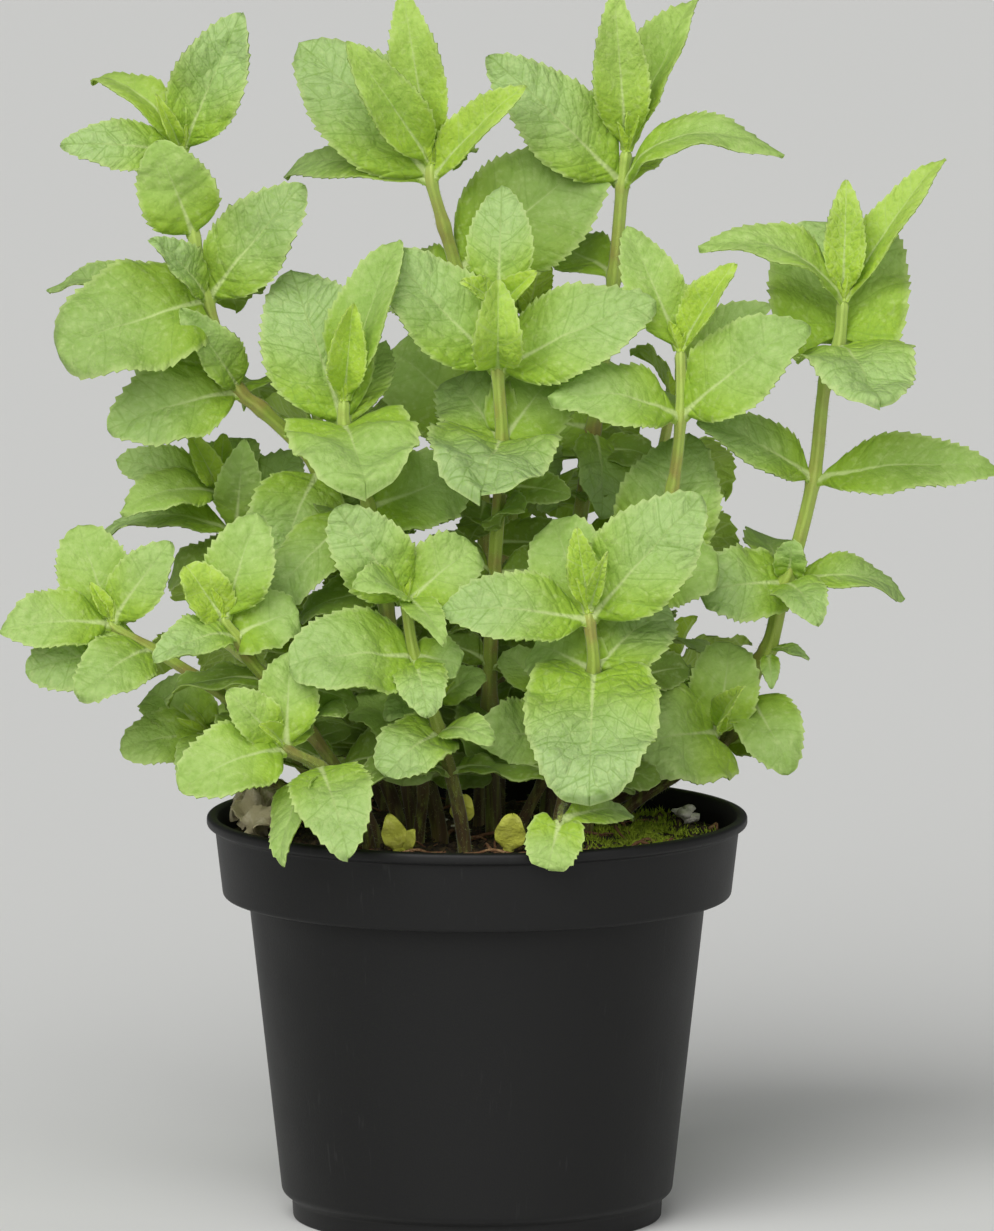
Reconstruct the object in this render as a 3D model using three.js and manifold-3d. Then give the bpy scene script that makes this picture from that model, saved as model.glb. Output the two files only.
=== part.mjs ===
// A potted mint plant, in millimetres: +Z up, the origin under the middle of the pot, the front at -Y.
// A round nursery pot holds a block of potting soil, and leafy shoots stand in plain holes in that soil.
// Mint has square stems and opposite leaves with toothed edges. Each shoot is one solid: its stem and leaves.

import * as THREE from "three";
import { mergeVertices } from "three/addons/utils/BufferGeometryUtils.js";
import Module from "manifold-3d";

const wasm = await Module();
wasm.setup();

const { degToRad, lerp, mapLinear, clamp } = THREE.MathUtils;

// ---- Driving dimensions ----

const POT_HEIGHT = 98;
const POT_SIDES = 30; // flats round the pot and the soil
const WALL = 1.2; // the pot's plastic
const FLOOR_TOP = 3.6; // the inside of the pot's floor
const DRAIN_FLOOR = 2; // the underside of the raised ring with the drainage holes
const HUB_RADIUS = 23; // the flat middle that the pot also stands on
const FOOT_WIDTH = 2.4; // the ring that the pot stands on
const FOOT_RADIUS = 44.5;
const BODY_FOOT_Z = 6.4; // where the tapered body steps out over the foot
const BODY_FOOT_RADIUS = 47.2;
const BODY_TOP_RADIUS = 55.2;
const SHELF_Z = 78.4; // the underside of the collar
const COLLAR_FOOT_RADIUS = 61.3;
const COLLAR_TOP_RADIUS = 63.2;
const LIP_RADIUS = 65.2; // the bead along the rim
const LIP_HEIGHT = 3.2;

const DRAIN_HOLES = 6;
const DRAIN_SIDES = 6;
const DRAIN_RADIUS = 4;
const DRAIN_CIRCLE = 33;

const GAP = 0.35; // between pieces that touch on the real plant
const SOIL_TOP = POT_HEIGHT - 6;
const SOIL_RELIEF = 1; // how far the soil's surface rises and sinks
const ROOTED = 20; // how deep a stem stands in the soil
const UPRIGHT = 1.8; // a stem rises straight until it is this far over the soil

const STALK_LENGTH = 3.4; // from the middle of the stem to the foot of a leaf's blade
const STALK_HALF_WIDTH = 1.3;
const STALK_HALF_THICKNESS = 0.8;
const BLADE_HALF_THICKNESS = 0.34;
const CUP = 0.12; // how far a blade's halves curl down at the edge, of the half width
const WIDEST = 0.82; // under 1, a leaf is widest nearer to its foot than to its tip
const TOOTH = 1.2; // how far a tooth stands out of the edge of a large leaf
const FULL_TOOTH_WIDTH = 18; // a narrower leaf has smaller teeth
const TOOTH_LEAN = 0.3; // how far a tooth points forward, of the room that it has
const TOOTH_ROOM = 9.4; // a leaf has a tooth on each side for this much of its length
const MOST_TEETH = 5;
const STEM_STEP = 20; // stretches of stem longer than this bend once more
const BUD = 1.5; // how far a stem goes on over its last node

// The plant is laid out as it is seen from in front and slightly above, looking at a place this far right of
// the pot's middle and this far over its rim.
const VIEW_TILT = degToRad(7.7);
const VIEW_DISTANCE = 3500;
const VIEW_RIGHT = 4.8;
const VIEW_RISE = 48.2;

const BACK = new THREE.Vector3(0, 1, 0);

const COLOURS = { pot: 0x2b2b2b, soil: 0x2e2a16, leaf: 0xa1c264 };

// ---- The layout ----

// The place that is seen x right of the pot's middle and h over its rim, and that lies y behind the middle.
function seen(x, y, h) {
  const [sin, cos] = [Math.sin(VIEW_TILT), Math.cos(VIEW_TILT)];
  const [right, up] = [x - VIEW_RIGHT, h - VIEW_RISE];
  const away = (y - up * sin) / (cos + (up * sin) / VIEW_DISTANCE);
  const grow = 1 + away / VIEW_DISTANCE;
  const z = POT_HEIGHT + VIEW_RISE + up * grow * cos - away * sin;
  return new THREE.Vector3(VIEW_RIGHT + right * grow, y, z);
}

// A leaf's tip is seen at x, y, h, and it is this wide. Its middle arches over a straight line by a share of
// its length, and its halves fold up by some degrees. Turn leans its face from up (0) towards the viewer (90)
// or away (-90), and side swings it from there towards +X.
function leaf(x, y, h, wide, arch, fold, turn, side = 0) {
  return { tip: seen(x, y, h), wide, arch, fold, turn, side };
}

const node = (x, y, h, leaves = []) => ({ at: seen(x, y, h), leaves });
// A shoot has the half width of its stem at the foot and at the top, and its nodes from the soil up.
const shoot = (name, foot, top, nodes) => ({ name, foot, top, nodes });

const SHOOTS = [
  shoot("left_tall", 2.3, 1.2, [
    node(-15, 12, -4),
    node(-22, 15, 30),
    node(-31, 12, 61),
    node(-38, 8, 83, [
      leaf(-49, -6, 57, 22, 0.12, 12, 50),
      leaf(-28, 14, 65, 18, 0.1, 10, 55),
    ]),
    node(-52, 5, 98),
    node(-57, 4, 102, [
      leaf(-89, -2, 93, 21, 0.08, 14, 54),
      leaf(-71, -9, 122, 14, 0.06, 42, 62),
      leaf(-84, 22, 109, 16, 0.12, 10, 60),
      leaf(-52, 38, 101, 20, 0.1, 12, -15),
    ]),
    node(-65, 2, 124, [
      leaf(-100, -8, 116, 30, 0.06, 14, 60),
      leaf(-42, -4, 152, 20, 0.04, 14, 64),
      leaf(-78, -12, 139, 12, 0.06, 34, 50),
      leaf(-104, 26, 127, 12, 0.1, 20, 40),
      leaf(-58, 38, 124, 22, 0.1, 12, -25),
    ]),
    node(-68, 1, 139, [
      leaf(-77, 8, 162, 19, 0.03, 12, 82),
    ]),
    node(-71, 0, 160, [
      leaf(-57, -3, 193, 21, 0, 26, 72),
      leaf(-100, -8, 162, 13, 0.03, 14, 70),
      leaf(-93, 16, 177, 10, 0.24, 24, 15),
      leaf(-77, -10, 173, 7, 0.03, 55, 70),
      leaf(-71, 3, 171, 5, 0.03, 50, 70),
      leaf(-73, 24, 168, 13, 0.08, 18, -40),
    ]),
  ]),
  shoot("left_big", 2.2, 1.2, [
    node(-9, -6, -7),
    node(-16, -10, 23),
    node(-22, -14, 51),
    node(-26, -14, 74, [
      leaf(-3, -6, 81, 21, 0.08, 12, 60),
      leaf(-52, -26, 47, 16, 0.12, 14, 40),
    ]),
    node(-32, -14, 94, [
      leaf(-45, 2, 132, 27, 0.03, 10, 80),
      leaf(-27, -44, 81, 31, 0.04, 20, 40),
      leaf(-22, 8, 114, 13, 0.06, 22, 60),
      leaf(-38, 20, 100, 20, 0.1, 12, -15),
    ]),
    node(-32, -14, 100, [
      leaf(-19, -7, 139, 21, 0.04, 42, 60, -20),
      leaf(-30, -20, 123, 7, 0.02, 62, 70),
    ]),
  ]),
  shoot("top_centre", 2.2, 1.2, [
    node(1, 20, -3),
    node(2, 25, 30),
    node(2, 27, 61),
    node(0, 26, 94, [
      leaf(-21, 34, 113, 24, 0.08, 10, 70),
      leaf(20, 34, 74, 18, 0.1, 10, 40),
    ]),
    node(-5, 24, 131, [
      leaf(30, 36, 160, 30, 0.06, 10, 76),
      leaf(-20, 44, 124, 18, 0.12, 10, 50),
      leaf(8, 58, 128, 20, 0.1, 12, -25),
    ]),
    node(-8, 22, 142),
    node(-11, 20, 153, [
      leaf(-43, 30, 187, 27, 0.05, 12, 62),
      leaf(11, 10, 176, 13, 0.04, 34, 50),
      leaf(-47, 42, 154, 11, 0.18, 10, 30),
      leaf(-6, 48, 158, 18, 0.1, 12, -35),
    ]),
    node(-11, 20, 157, [
      leaf(-31, 8, 186, 17, 0.03, 40, 74),
      leaf(-18, 22, 199, 15, 0.03, 28, 84),
    ]),
  ]),
  shoot("centre", 2.2, 1.2, [
    node(4, 0, -6),
    node(3, -2, 27),
    node(4, -4, 57),
    node(6, -6, 90, [
      leaf(1, -44, 76, 30, 0.06, 12, 40),
      leaf(-6, 12, 106, 19, 0.06, 12, 70),
      leaf(20, 8, 108, 20, 0.06, 12, 70),
    ]),
    node(5, -7, 107, [
      leaf(-23, -4, 136, 23, 0.07, 16, 64),
      leaf(43, -10, 124, 24, 0.07, 16, 60),
      leaf(4, 22, 110, 18, 0.1, 12, -15),
    ]),
    node(5, -7, 124, [
      leaf(6, 2, 152, 16, 0.04, 10, 84),
      leaf(12, -16, 133, 9, 0.03, 42, 60),
      leaf(-3, -16, 127, 9, 0.03, 34, 50),
    ]),
  ]),
  shoot("top_right", 2.3, 1.3, [
    node(17, 25, -2),
    node(20, 32, 30),
    node(24, 36, 66),
    node(28, 37, 93, [
      leaf(30, 22, 72, 17, 0.06, 14, -30),
      leaf(10, 50, 95, 20, 0.08, 10, 60),
      leaf(36, 68, 92, 19, 0.1, 12, -20),
    ]),
    node(33, 34, 130, [
      leaf(14, 52, 137, 17, 0.1, 10, 35),
      leaf(46, 56, 116, 16, 0.12, 12, 30),
    ]),
    node(35, 32, 152, [
      leaf(3, 23, 183, 21, 0.04, 12, 68),
      leaf(74, 20, 159, 15, 0.28, 16, 36),
      leaf(37, 62, 156, 18, 0.1, 12, -35),
    ]),
    node(36, 31, 160, [
      leaf(33, 22, 198, 14, 0.03, 42, -70),
      leaf(52, 44, 198, 18, 0.02, 46, 80, -30),
      leaf(39, 27, 177, 6, 0.02, 60, 80),
    ]),
  ]),
  shoot("right_centre", 2.1, 1.1, [
    node(26, 4, -5),
    node(35, 2, 30),
    node(41, -1, 57, [
      leaf(51, 12, 92, 25, 0.04, 10, 80),
      leaf(58, -8, 59, 18, 0.08, 12, 62),
    ]),
    node(47, -3, 79),
    node(49, -5, 96, [
      leaf(17, -14, 101, 18, 0.15, 14, 52),
      leaf(79, -13, 119, 22, 0.06, 16, 60),
      leaf(48, 27, 98, 18, 0.1, 12, -15),
    ]),
    node(49, -5, 112, [
      leaf(36, -1, 142, 15, 0.06, 18, 74),
      leaf(62, -10, 133, 12, 0.03, 40, 60, -20),
      leaf(47, 4, 126, 8, 0.03, 40, 70),
    ]),
  ]),
  shoot("right_tall", 2.6, 1.3, [
    node(30, 36, -1),
    node(43, 33, 9),
    node(58, 26, 16),
    node(65, 19, 29, [
      leaf(75, 2, 10, 17, 0.16, 12, 52),
    ]),
    node(67, 16, 36),
    node(70, 14, 40, [
      leaf(80, 8, 38, 5, 0.12, 20, 30),
      leaf(71, 6, 31, 5, 0.06, 20, 40),
    ]),
    node(74, 9, 56, [
      leaf(54, 0, 54, 19, 0.06, 12, 60),
      leaf(82, -14, 47, 13, 0.1, 14, 40),
      leaf(104, 14, 53, 12, 0.16, 16, 36),
      leaf(67, 34, 69, 14, 0.06, 10, -30),
    ]),
    node(75, 9, 58, [
      leaf(76, 4, 66, 9, 0.04, 30, 70),
    ]),
    node(81, 6, 81, [
      leaf(53, 0, 95, 15, 0.1, 16, 54),
      leaf(126, -6, 84, 17, 0.08, 14, 52),
    ]),
    node(84, 5, 105),
    node(87, 5, 113, [
      leaf(97, -32, 99, 28, 0.08, 14, 40),
      leaf(87, 26, 144, 34, 0.05, 10, 78),
    ]),
    node(88, 5, 124, [
      leaf(53, -6, 138, 15, 0.2, 20, 38),
      leaf(112, 10, 159, 13, 0.03, 30, 60, -25),
      leaf(89, 4, 153, 12, 0.03, 34, 82),
    ]),
  ]),
  shoot("right_low", 1.8, 1, [
    node(34, 16, -3),
    node(48, 14, 10),
    node(58, 8, 20, [
      leaf(38, -8, 17, 28, 0.08, 12, 64),
      leaf(61, 12, 42, 17, 0.06, 12, 80),
      leaf(37, 18, 38, 13, 0.12, 18, 40),
      leaf(64, -12, 31, 9, 0.06, 40, 60),
    ]),
  ]),
  shoot("front_right", 2, 1.1, [
    node(19, -24, -9),
    node(23, -30, 13),
    node(28, -36, 35, [
      leaf(27, -66, 5, 32, 0.05, 16, 45),
      leaf(13, -26, 41, 17, 0.08, 12, 60),
      leaf(46, -20, 51, 19, 0.08, 12, 62),
    ]),
    node(27, -38, 47, [
      leaf(54, -38, 77, 24, 0.05, 12, 68),
      leaf(-9, -46, 50, 18, 0.07, 16, 58),
      leaf(18, -24, 72, 20, 0.05, 12, 80),
    ]),
    node(27, -38, 49, [
      leaf(24, -42, 69, 11, 0.02, 44, 78),
      leaf(31, -51, 63, 6, 0.02, 50, 70),
    ]),
  ]),
  shoot("front_centre", 1.9, 1, [
    node(-3, -26, -11),
    node(-9, -38, 20),
    node(-15, -38, 38, [
      leaf(-45, -50, 37, 24, 0.08, 12, 54),
      leaf(-4, -40, 36, 12, 0.12, 14, 40),
    ]),
    node(-17, -35, 51, [
      leaf(-34, -40, 74, 19, 0.05, 14, 68),
      leaf(0, -34, 65, 17, 0.08, 18, 62),
    ]),
    node(-17, -35, 52, [
      leaf(-29, -52, 56, 12, 0.12, 16, 50),
      leaf(-17, -28, 60, 9, 0.03, 40, 70),
      leaf(-8, -59, 42, 9, 0.1, 18, 45),
    ]),
  ]),
  shoot("front_left", 1.8, 1, [
    node(-26, -24, -10),
    node(-32, -38, 6),
    node(-38, -46, 12, [
      leaf(-31, -76, -10, 17, 0.12, 16, 50),
      leaf(-47, -66, -12, 13, 0.1, 16, 50, -40),
    ]),
    node(-46, -50, 16, [
      leaf(-72, -62, 7, 20, 0.1, 14, 54),
      leaf(-45, -44, 40, 15, 0.06, 14, 74),
      leaf(-42, -34, 24, 9, 0.06, 14, 60),
    ]),
    node(-47, -50, 17, [
      leaf(-60, -54, 30, 12, 0.05, 20, 64),
      leaf(-52, -62, 22, 6, 0.04, 40, 60),
    ]),
  ]),
  shoot("far_left", 1.8, 1, [
    node(-30, -12, -8),
    node(-50, -18, 20),
    node(-67, -22, 33),
    node(-78, -24, 40, [
      leaf(-96, -42, 29, 17, 0.1, 14, 52),
      leaf(-109, -28, 35, 20, 0.08, 12, 56),
    ]),
    node(-88, -25, 46, [
      leaf(-115, -32, 45, 16, 0.08, 16, 52),
      leaf(-96, -17, 70, 18, 0.04, 12, 76),
      leaf(-74, -28, 66, 14, 0.05, 16, 62),
      leaf(-91, 2, 39, 16, 0.1, 10, 40),
    ]),
    node(-88, -25, 47, [
      leaf(-93, -28, 56, 6, 0.04, 45, 60),
    ]),
  ]),
  shoot("mid_left", 1.8, 1, [
    node(-24, -20, -9),
    node(-40, -30, 20),
    node(-55, -34, 38),
    node(-58, -35, 43, [
      leaf(-78, -50, 38, 13, 0.14, 16, 50),
      leaf(-43, -34, 49, 15, 0.1, 12, 50),
    ]),
    node(-61, -36, 47, [
      leaf(-53, -36, 73, 17, 0.05, 14, 70),
      leaf(-70, -40, 60, 13, 0.04, 30, 62),
    ]),
    node(-61, -36, 48, [
      leaf(-62, -30, 59, 5, 0.03, 45, 70),
    ]),
  ]),
  shoot("left_mid", 1.9, 1, [
    node(-19, 20, -3),
    node(-34, 24, 30),
    node(-50, 24, 51),
    node(-58, 22, 68, [
      leaf(-43, 30, 88, 16, 0.1, 12, 50),
      leaf(-91, 26, 69, 13, 0.16, 14, 36),
    ]),
    node(-62, 20, 77, [
      leaf(-86, 8, 73, 14, 0.18, 16, 40),
      leaf(-57, 32, 91, 15, 0.06, 20, 50),
      leaf(-87, 24, 86, 13, 0.1, 14, 56),
    ]),
    node(-62, 20, 78, [
      leaf(-69, 14, 92, 10, 0.03, 48, 66),
      leaf(-61, 22, 92, 8, 0.03, 40, 66),
    ]),
  ]),
  shoot("low_left", 1.7, 1, [
    node(-31, 0, -6),
    node(-52, -6, 10),
    node(-65, -10, 20, [
      leaf(-86, -14, 16, 15, 0.08, 12, 60),
      leaf(-79, 0, 30, 16, 0.1, 12, 50),
      leaf(-71, -28, 8, 9, 0.1, 12, 40),
    ]),
  ]),
  shoot("low_centre", 1.6, 0.9, [
    node(-14, -12, -8),
    node(-13, -17, 6),
    node(-14, -19, 18, [
      leaf(-18, -33, 8, 16, 0.08, 12, 50),
      leaf(-30, -22, 27, 17, 0.1, 10, 40),
    ]),
    node(-10, -20, 27, [
      leaf(-22, -33, 24, 11, 0.12, 14, 44),
      leaf(2, -22, 34, 10, 0.12, 14, 44),
    ]),
  ]),
  shoot("low_mid", 1.6, 0.9, [
    node(10, -8, -7),
    node(16, -12, 9),
    node(19, -14, 18, [
      leaf(0, -30, 19, 17, 0.1, 12, 60),
      leaf(38, -30, 6, 9, 0.1, 14, 60),
    ]),
    node(17, -14, 29, [
      leaf(6, -8, 40, 11, 0.1, 14, 60),
      leaf(39, -2, 39, 14, 0.1, 14, 50),
    ]),
  ]),
  shoot("runner", 1.2, 0.8, [
    node(22, -42, -12),
    node(21, -50, 2),
    node(20, -60, -1, [
      leaf(17, -70, -13, 12.5, 0.1, 16, 60),
    ]),
  ]),
  shoot("back_left", 2, 1.1, [
    node(-18, 46, 2),
    node(-27, 54, 39, [
      leaf(-50, 66, 36, 20, 0.1, 12, -15),
      leaf(-10, 78, 36, 20, 0.1, 12, -20),
    ]),
    node(-33, 60, 66, [
      leaf(-58, 74, 60, 23, 0.12, 12, -30),
      leaf(-17, 86, 72, 23, 0.12, 12, -30),
    ]),
    node(-37, 63, 88, [
      leaf(-55, 79, 100, 20, 0.1, 12, -40),
      leaf(-19, 86, 95, 20, 0.1, 12, -40),
    ]),
    node(-40, 64, 104, [
      leaf(-45, 74, 121, 16, 0.06, 18, -50),
      leaf(-26, 52, 114, 15, 0.06, 18, -40),
    ]),
  ]),
  shoot("back_centre", 2, 1.1, [
    node(5, 42, 1),
    node(6, 62, 42, [
      leaf(24, 84, 44, 20, 0.1, 12, -20),
    ]),
    node(8, 68, 71, [
      leaf(-9, 80, 73, 21, 0.12, 12, -30),
      leaf(29, 96, 76, 24, 0.12, 12, -30),
    ]),
    node(10, 71, 92, [
      leaf(-6, 60, 90, 17, 0.1, 12, 30),
      leaf(15, 104, 83, 22, 0.12, 12, -50),
    ]),
    node(11, 72, 114, [
      leaf(-4, 84, 124, 19, 0.08, 12, -45),
      leaf(29, 86, 121, 19, 0.08, 12, -45),
    ]),
    node(12, 72, 119, [
      leaf(10, 78, 143, 15, 0.04, 26, -75),
      leaf(16, 70, 136, 10, 0.04, 30, -60),
    ]),
  ]),
  shoot("back_right", 2, 1.1, [
    node(19, 46, 2),
    node(32, 58, 39, [
      leaf(60, 52, 38, 19, 0.1, 12, -10),
      leaf(22, 82, 30, 18, 0.1, 12, -20),
    ]),
    node(39, 64, 65, [
      leaf(22, 85, 54, 22, 0.12, 12, -30),
      leaf(62, 84, 60, 23, 0.12, 12, -30),
    ]),
    node(44, 68, 85, [
      leaf(27, 88, 90, 19, 0.1, 16, -40),
      leaf(60, 92, 78, 19, 0.12, 12, -40),
    ]),
    node(47, 70, 100, [
      leaf(70, 62, 124, 14, 0.1, 14, 36),
      leaf(39, 84, 112, 14, 0.06, 16, -50),
    ]),
  ]),
  shoot("back_low_left", 1.8, 1, [
    node(-22, 36, 0),
    node(-43, 60, 27),
    node(-57, 76, 39, [
      leaf(-72, 70, 56, 18, 0.1, 12, -10),
      leaf(-43, 92, 52, 18, 0.1, 12, -30),
    ]),
    node(-61, 80, 42, [
      leaf(-80, 88, 34, 17, 0.12, 12, -20),
      leaf(-55, 106, 24, 18, 0.12, 12, -40),
      leaf(-57, 88, 57, 10, 0.04, 30, -50),
    ]),
  ]),
  shoot("back_low_right", 1.8, 1, [
    node(21, 30, -2),
    node(37, 58, 20),
    node(45, 72, 30, [
      leaf(32, 84, 48, 18, 0.1, 12, -20),
      leaf(66, 70, 42, 17, 0.1, 12, -10),
    ]),
    node(47, 76, 34, [
      leaf(30, 94, 20, 18, 0.12, 12, -30),
      leaf(60, 96, 24, 17, 0.12, 12, -25),
      leaf(52, 87, 48, 10, 0.04, 30, -50),
    ]),
  ]),
  shoot("back_low", 1.8, 1, [
    node(-6, 48, 2),
    node(-4, 76, 23),
    node(-5, 90, 37, [
      leaf(-30, 92, 40, 18, 0.1, 12, -20),
      leaf(20, 94, 40, 18, 0.1, 12, -20),
    ]),
    node(-5, 94, 42, [
      leaf(-4, 118, 24, 17, 0.12, 16, -45),
      leaf(-9, 88, 56, 15, 0.06, 14, -60),
      leaf(-4, 98, 49, 9, 0.04, 36, -60),
    ]),
  ]),
];

// ---- Solids ----

function indexed(points, triangles) {
  const geometry = new THREE.BufferGeometry().setFromPoints(points);
  geometry.setIndex(triangles);
  return geometry;
}

function solidOf(geometry) {
  const bare = new THREE.BufferGeometry().setAttribute("position", geometry.getAttribute("position"));
  bare.setIndex(geometry.index);
  const merged = mergeVertices(bare, 1e-4);
  const mesh = new wasm.Mesh({
    numProp: 3,
    vertProperties: new Float32Array(merged.attributes.position.array),
    triVerts: new Uint32Array(merged.index.array),
  });
  return new wasm.Manifold(mesh);
}

function meshOf(name, solid, material) {
  const { numProp, numVert, vertProperties, triVerts } = solid.getMesh();
  const position = new Float32Array(numVert * 3);
  for (let i = 0; i < numVert; i++) {
    position.set(vertProperties.subarray(i * numProp, i * numProp + 3), i * 3);
  }
  const geometry = new THREE.BufferGeometry();
  geometry.setAttribute("position", new THREE.BufferAttribute(position, 3));
  geometry.setIndex(new THREE.BufferAttribute(new Uint32Array(triVerts), 1));
  geometry.computeVertexNormals();
  const mesh = new THREE.Mesh(geometry, material);
  mesh.name = name;
  return mesh;
}

// A solid of revolution about Z, from [radius, z] pairs that start and end on the axis.
function turned(profile) {
  const outline = profile.map(([radius, z]) => new THREE.Vector2(radius, z));
  return new THREE.LatheGeometry(outline, POT_SIDES).rotateX(Math.PI / 2);
}

// ---- Pot and soil ----

const LIP_FOOT = POT_HEIGHT - LIP_HEIGHT;
const SHELF_TOP = SHELF_Z + WALL;
const bodyRadius = (z) => mapLinear(z, BODY_FOOT_Z, SHELF_Z, BODY_FOOT_RADIUS, BODY_TOP_RADIUS);
const collarRadius = (z) => mapLinear(z, SHELF_Z, LIP_FOOT, COLLAR_FOOT_RADIUS, COLLAR_TOP_RADIUS);

// The pot's inside from the floor up to z, drawn in by some clearance.
const inside = (z, clearance) => [
  [FOOT_RADIUS - WALL - clearance, FLOOR_TOP + clearance],
  [bodyRadius(BODY_FOOT_Z) - WALL - clearance, BODY_FOOT_Z + clearance],
  [BODY_TOP_RADIUS - WALL - clearance, SHELF_TOP + clearance],
  [collarRadius(SHELF_TOP) - WALL - clearance, SHELF_TOP + clearance],
  [collarRadius(z) - WALL - clearance, z],
];

function pot() {
  const ring = FOOT_RADIUS - FOOT_WIDTH;
  const profile = [
    [0, 0],
    [HUB_RADIUS, 0],
    [HUB_RADIUS + 1, DRAIN_FLOOR],
    [ring - 1, DRAIN_FLOOR],
    [ring, 0],
    [FOOT_RADIUS, 0],
    [FOOT_RADIUS + 0.3, BODY_FOOT_Z - 1.8],
    [BODY_FOOT_RADIUS, BODY_FOOT_Z],
    [BODY_TOP_RADIUS, SHELF_Z],
    [COLLAR_FOOT_RADIUS, SHELF_Z],
    [COLLAR_TOP_RADIUS, LIP_FOOT],
    [LIP_RADIUS, LIP_FOOT + 0.8],
    [LIP_RADIUS, POT_HEIGHT],
    [COLLAR_TOP_RADIUS - 0.4, POT_HEIGHT],
    ...inside(LIP_FOOT, 0).reverse(),
    [0, FLOOR_TOP],
  ];
  const drains = Array.from({ length: DRAIN_HOLES }, (_, i) => {
    const angle = (2 * Math.PI * i) / DRAIN_HOLES;
    const hole = new THREE.CylinderGeometry(DRAIN_RADIUS, DRAIN_RADIUS, 4 * FLOOR_TOP, DRAIN_SIDES);
    hole.rotateX(Math.PI / 2);
    return solidOf(hole.translate(DRAIN_CIRCLE * Math.cos(angle), DRAIN_CIRCLE * Math.sin(angle), 0));
  });
  return solidOf(turned(profile)).subtract(wasm.Manifold.union(drains));
}

// Where a shoot leaves the soil, and where its root ends below that.
const exitOf = ({ nodes }) => nodes[0].at.clone().setZ(SOIL_TOP + UPRIGHT);
const rootOf = ({ nodes }) => nodes[0].at.clone().setZ(SOIL_TOP - ROOTED);

// A plain square hole for a shoot's root, with a gap all round.
function hole(shape) {
  const half = shape.foot + GAP;
  const depth = ROOTED + UPRIGHT + GAP;
  const { x, y, z } = exitOf(shape);
  const prism = new THREE.CylinderGeometry(half, half, depth, 4).rotateX(Math.PI / 2);
  return solidOf(prism.translate(x, y, z - depth / 2));
}

// The soil fills the pot to a little under the rim. Its surface rolls gently, and every stem has its hole.
function soil() {
  const edge = collarRadius(SOIL_TOP) - WALL - GAP;
  const rings = [0.78, 0.42, 0].map((share) => [edge * share, SOIL_TOP]);
  const geometry = turned([[0, FLOOR_TOP + GAP], ...inside(SOIL_TOP, GAP), ...rings]);
  const position = geometry.getAttribute("position");
  for (let i = 0; i < position.count; i++) {
    const [x, y, z] = [position.getX(i), position.getY(i), position.getZ(i)];
    if (z > SOIL_TOP - 1e-3 && Math.hypot(x, y) < 0.9 * edge) {
      const roll = Math.sin(x / 9) * Math.cos(y / 11) + 0.4 * Math.sin((x + y) / 5);
      position.setZ(i, z + SOIL_RELIEF * roll);
    }
  }
  return solidOf(geometry).subtract(wasm.Manifold.union(SHOOTS.map(hole)));
}

// ---- Stems ----

// Where a stem has its corners: shares of the line through its root, its nodes and its end.
function stops(places) {
  const spans = places.length + 1;
  const found = [0];
  for (let k = 1; k < places.length; k++) {
    const steps = places[k].distanceTo(places[k - 1]) > STEM_STEP ? 2 : 1;
    for (let step = 0; step < steps; step++) {
      found.push((k + step / steps) / spans);
    }
  }
  return [...found, places.length / spans, 1];
}

// A square rod through a shoot's nodes, from under the soil to just over the last node, tapering upwards.
function stem(shape) {
  const places = [exitOf(shape), ...shape.nodes.slice(1).map((n) => n.at)];
  const last = places.at(-1);
  const end = last.clone().add(last.clone().sub(places.at(-2)).setLength(BUD));
  const line = new THREE.CatmullRomCurve3([rootOf(shape), ...places, end], false, "centripetal");
  const shares = stops(places);
  const points = shares.flatMap((share) => {
    const middle = line.getPoint(share);
    const half = lerp(shape.foot, shape.top, share);
    const ahead = line.getTangent(share);
    const left = ahead.clone().cross(BACK).setLength(half);
    const front = ahead.clone().cross(left);
    return [left, front, left.clone().negate(), front.clone().negate()].map((corner) => corner.add(middle));
  });
  const tip = points.length - 4;
  const triangles = [0, 2, 1, 0, 3, 2, tip, tip + 1, tip + 2, tip, tip + 2, tip + 3];
  for (let ring = 0; ring < tip; ring += 4) {
    for (let side = 0; side < 4; side++) {
      const [a, b] = [ring + side, ring + ((side + 1) % 4)];
      triangles.push(a, b, b + 4, a, b + 4, a + 4);
    }
  }
  return solidOf(indexed(points, triangles));
}

// ---- Leaves ----

// A blade's half width at share u of its length: a sine hump whose widest place is moved by WIDEST. A leaf
// that is broad for its length has blunter ends.
function halfWidth(u, wide, length) {
  const blunt = 0.86 - 0.36 * Math.min(wide / length, 1);
  return (wide / 2) * Math.sin(Math.PI * clamp(u, 0, 1) ** WIDEST) ** blunt;
}

// The surface of one leaf, from the node that it leaves: the place at share t of its length, this far out
// from the midrib on side q (1, -1, or 0 on the midrib) and lifted this far over the blade's middle.
function leafSurface(foot, { tip, arch, fold, turn, side }) {
  const along = tip.clone().sub(foot);
  const length = along.length();
  along.divideScalar(length);
  const [lean, swing, bend] = [turn, side, fold].map(degToRad);
  const face = new THREE.Vector3(0, -Math.sin(lean), Math.cos(lean)).multiplyScalar(Math.cos(swing));
  face.setX(Math.sin(swing));
  face.addScaledVector(along, -face.dot(along)).normalize();
  const across = along.clone().cross(face);
  const place = (t, q, out, lift) => {
    const up = face.clone().addScaledVector(along, -4 * arch * (1 - 2 * t)).normalize();
    const sideways = q * (out * Math.cos(bend) - lift * Math.sin(bend));
    const upwards = q ? out * (Math.sin(bend) - CUP) + lift * Math.cos(bend) : lift / Math.cos(bend);
    return foot
      .clone()
      .addScaledVector(along, length * t)
      .addScaledVector(face, 4 * arch * length * t * (1 - t))
      .addScaledVector(across, sideways)
      .addScaledVector(up, upwards);
  };
  return { length, place };
}

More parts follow.
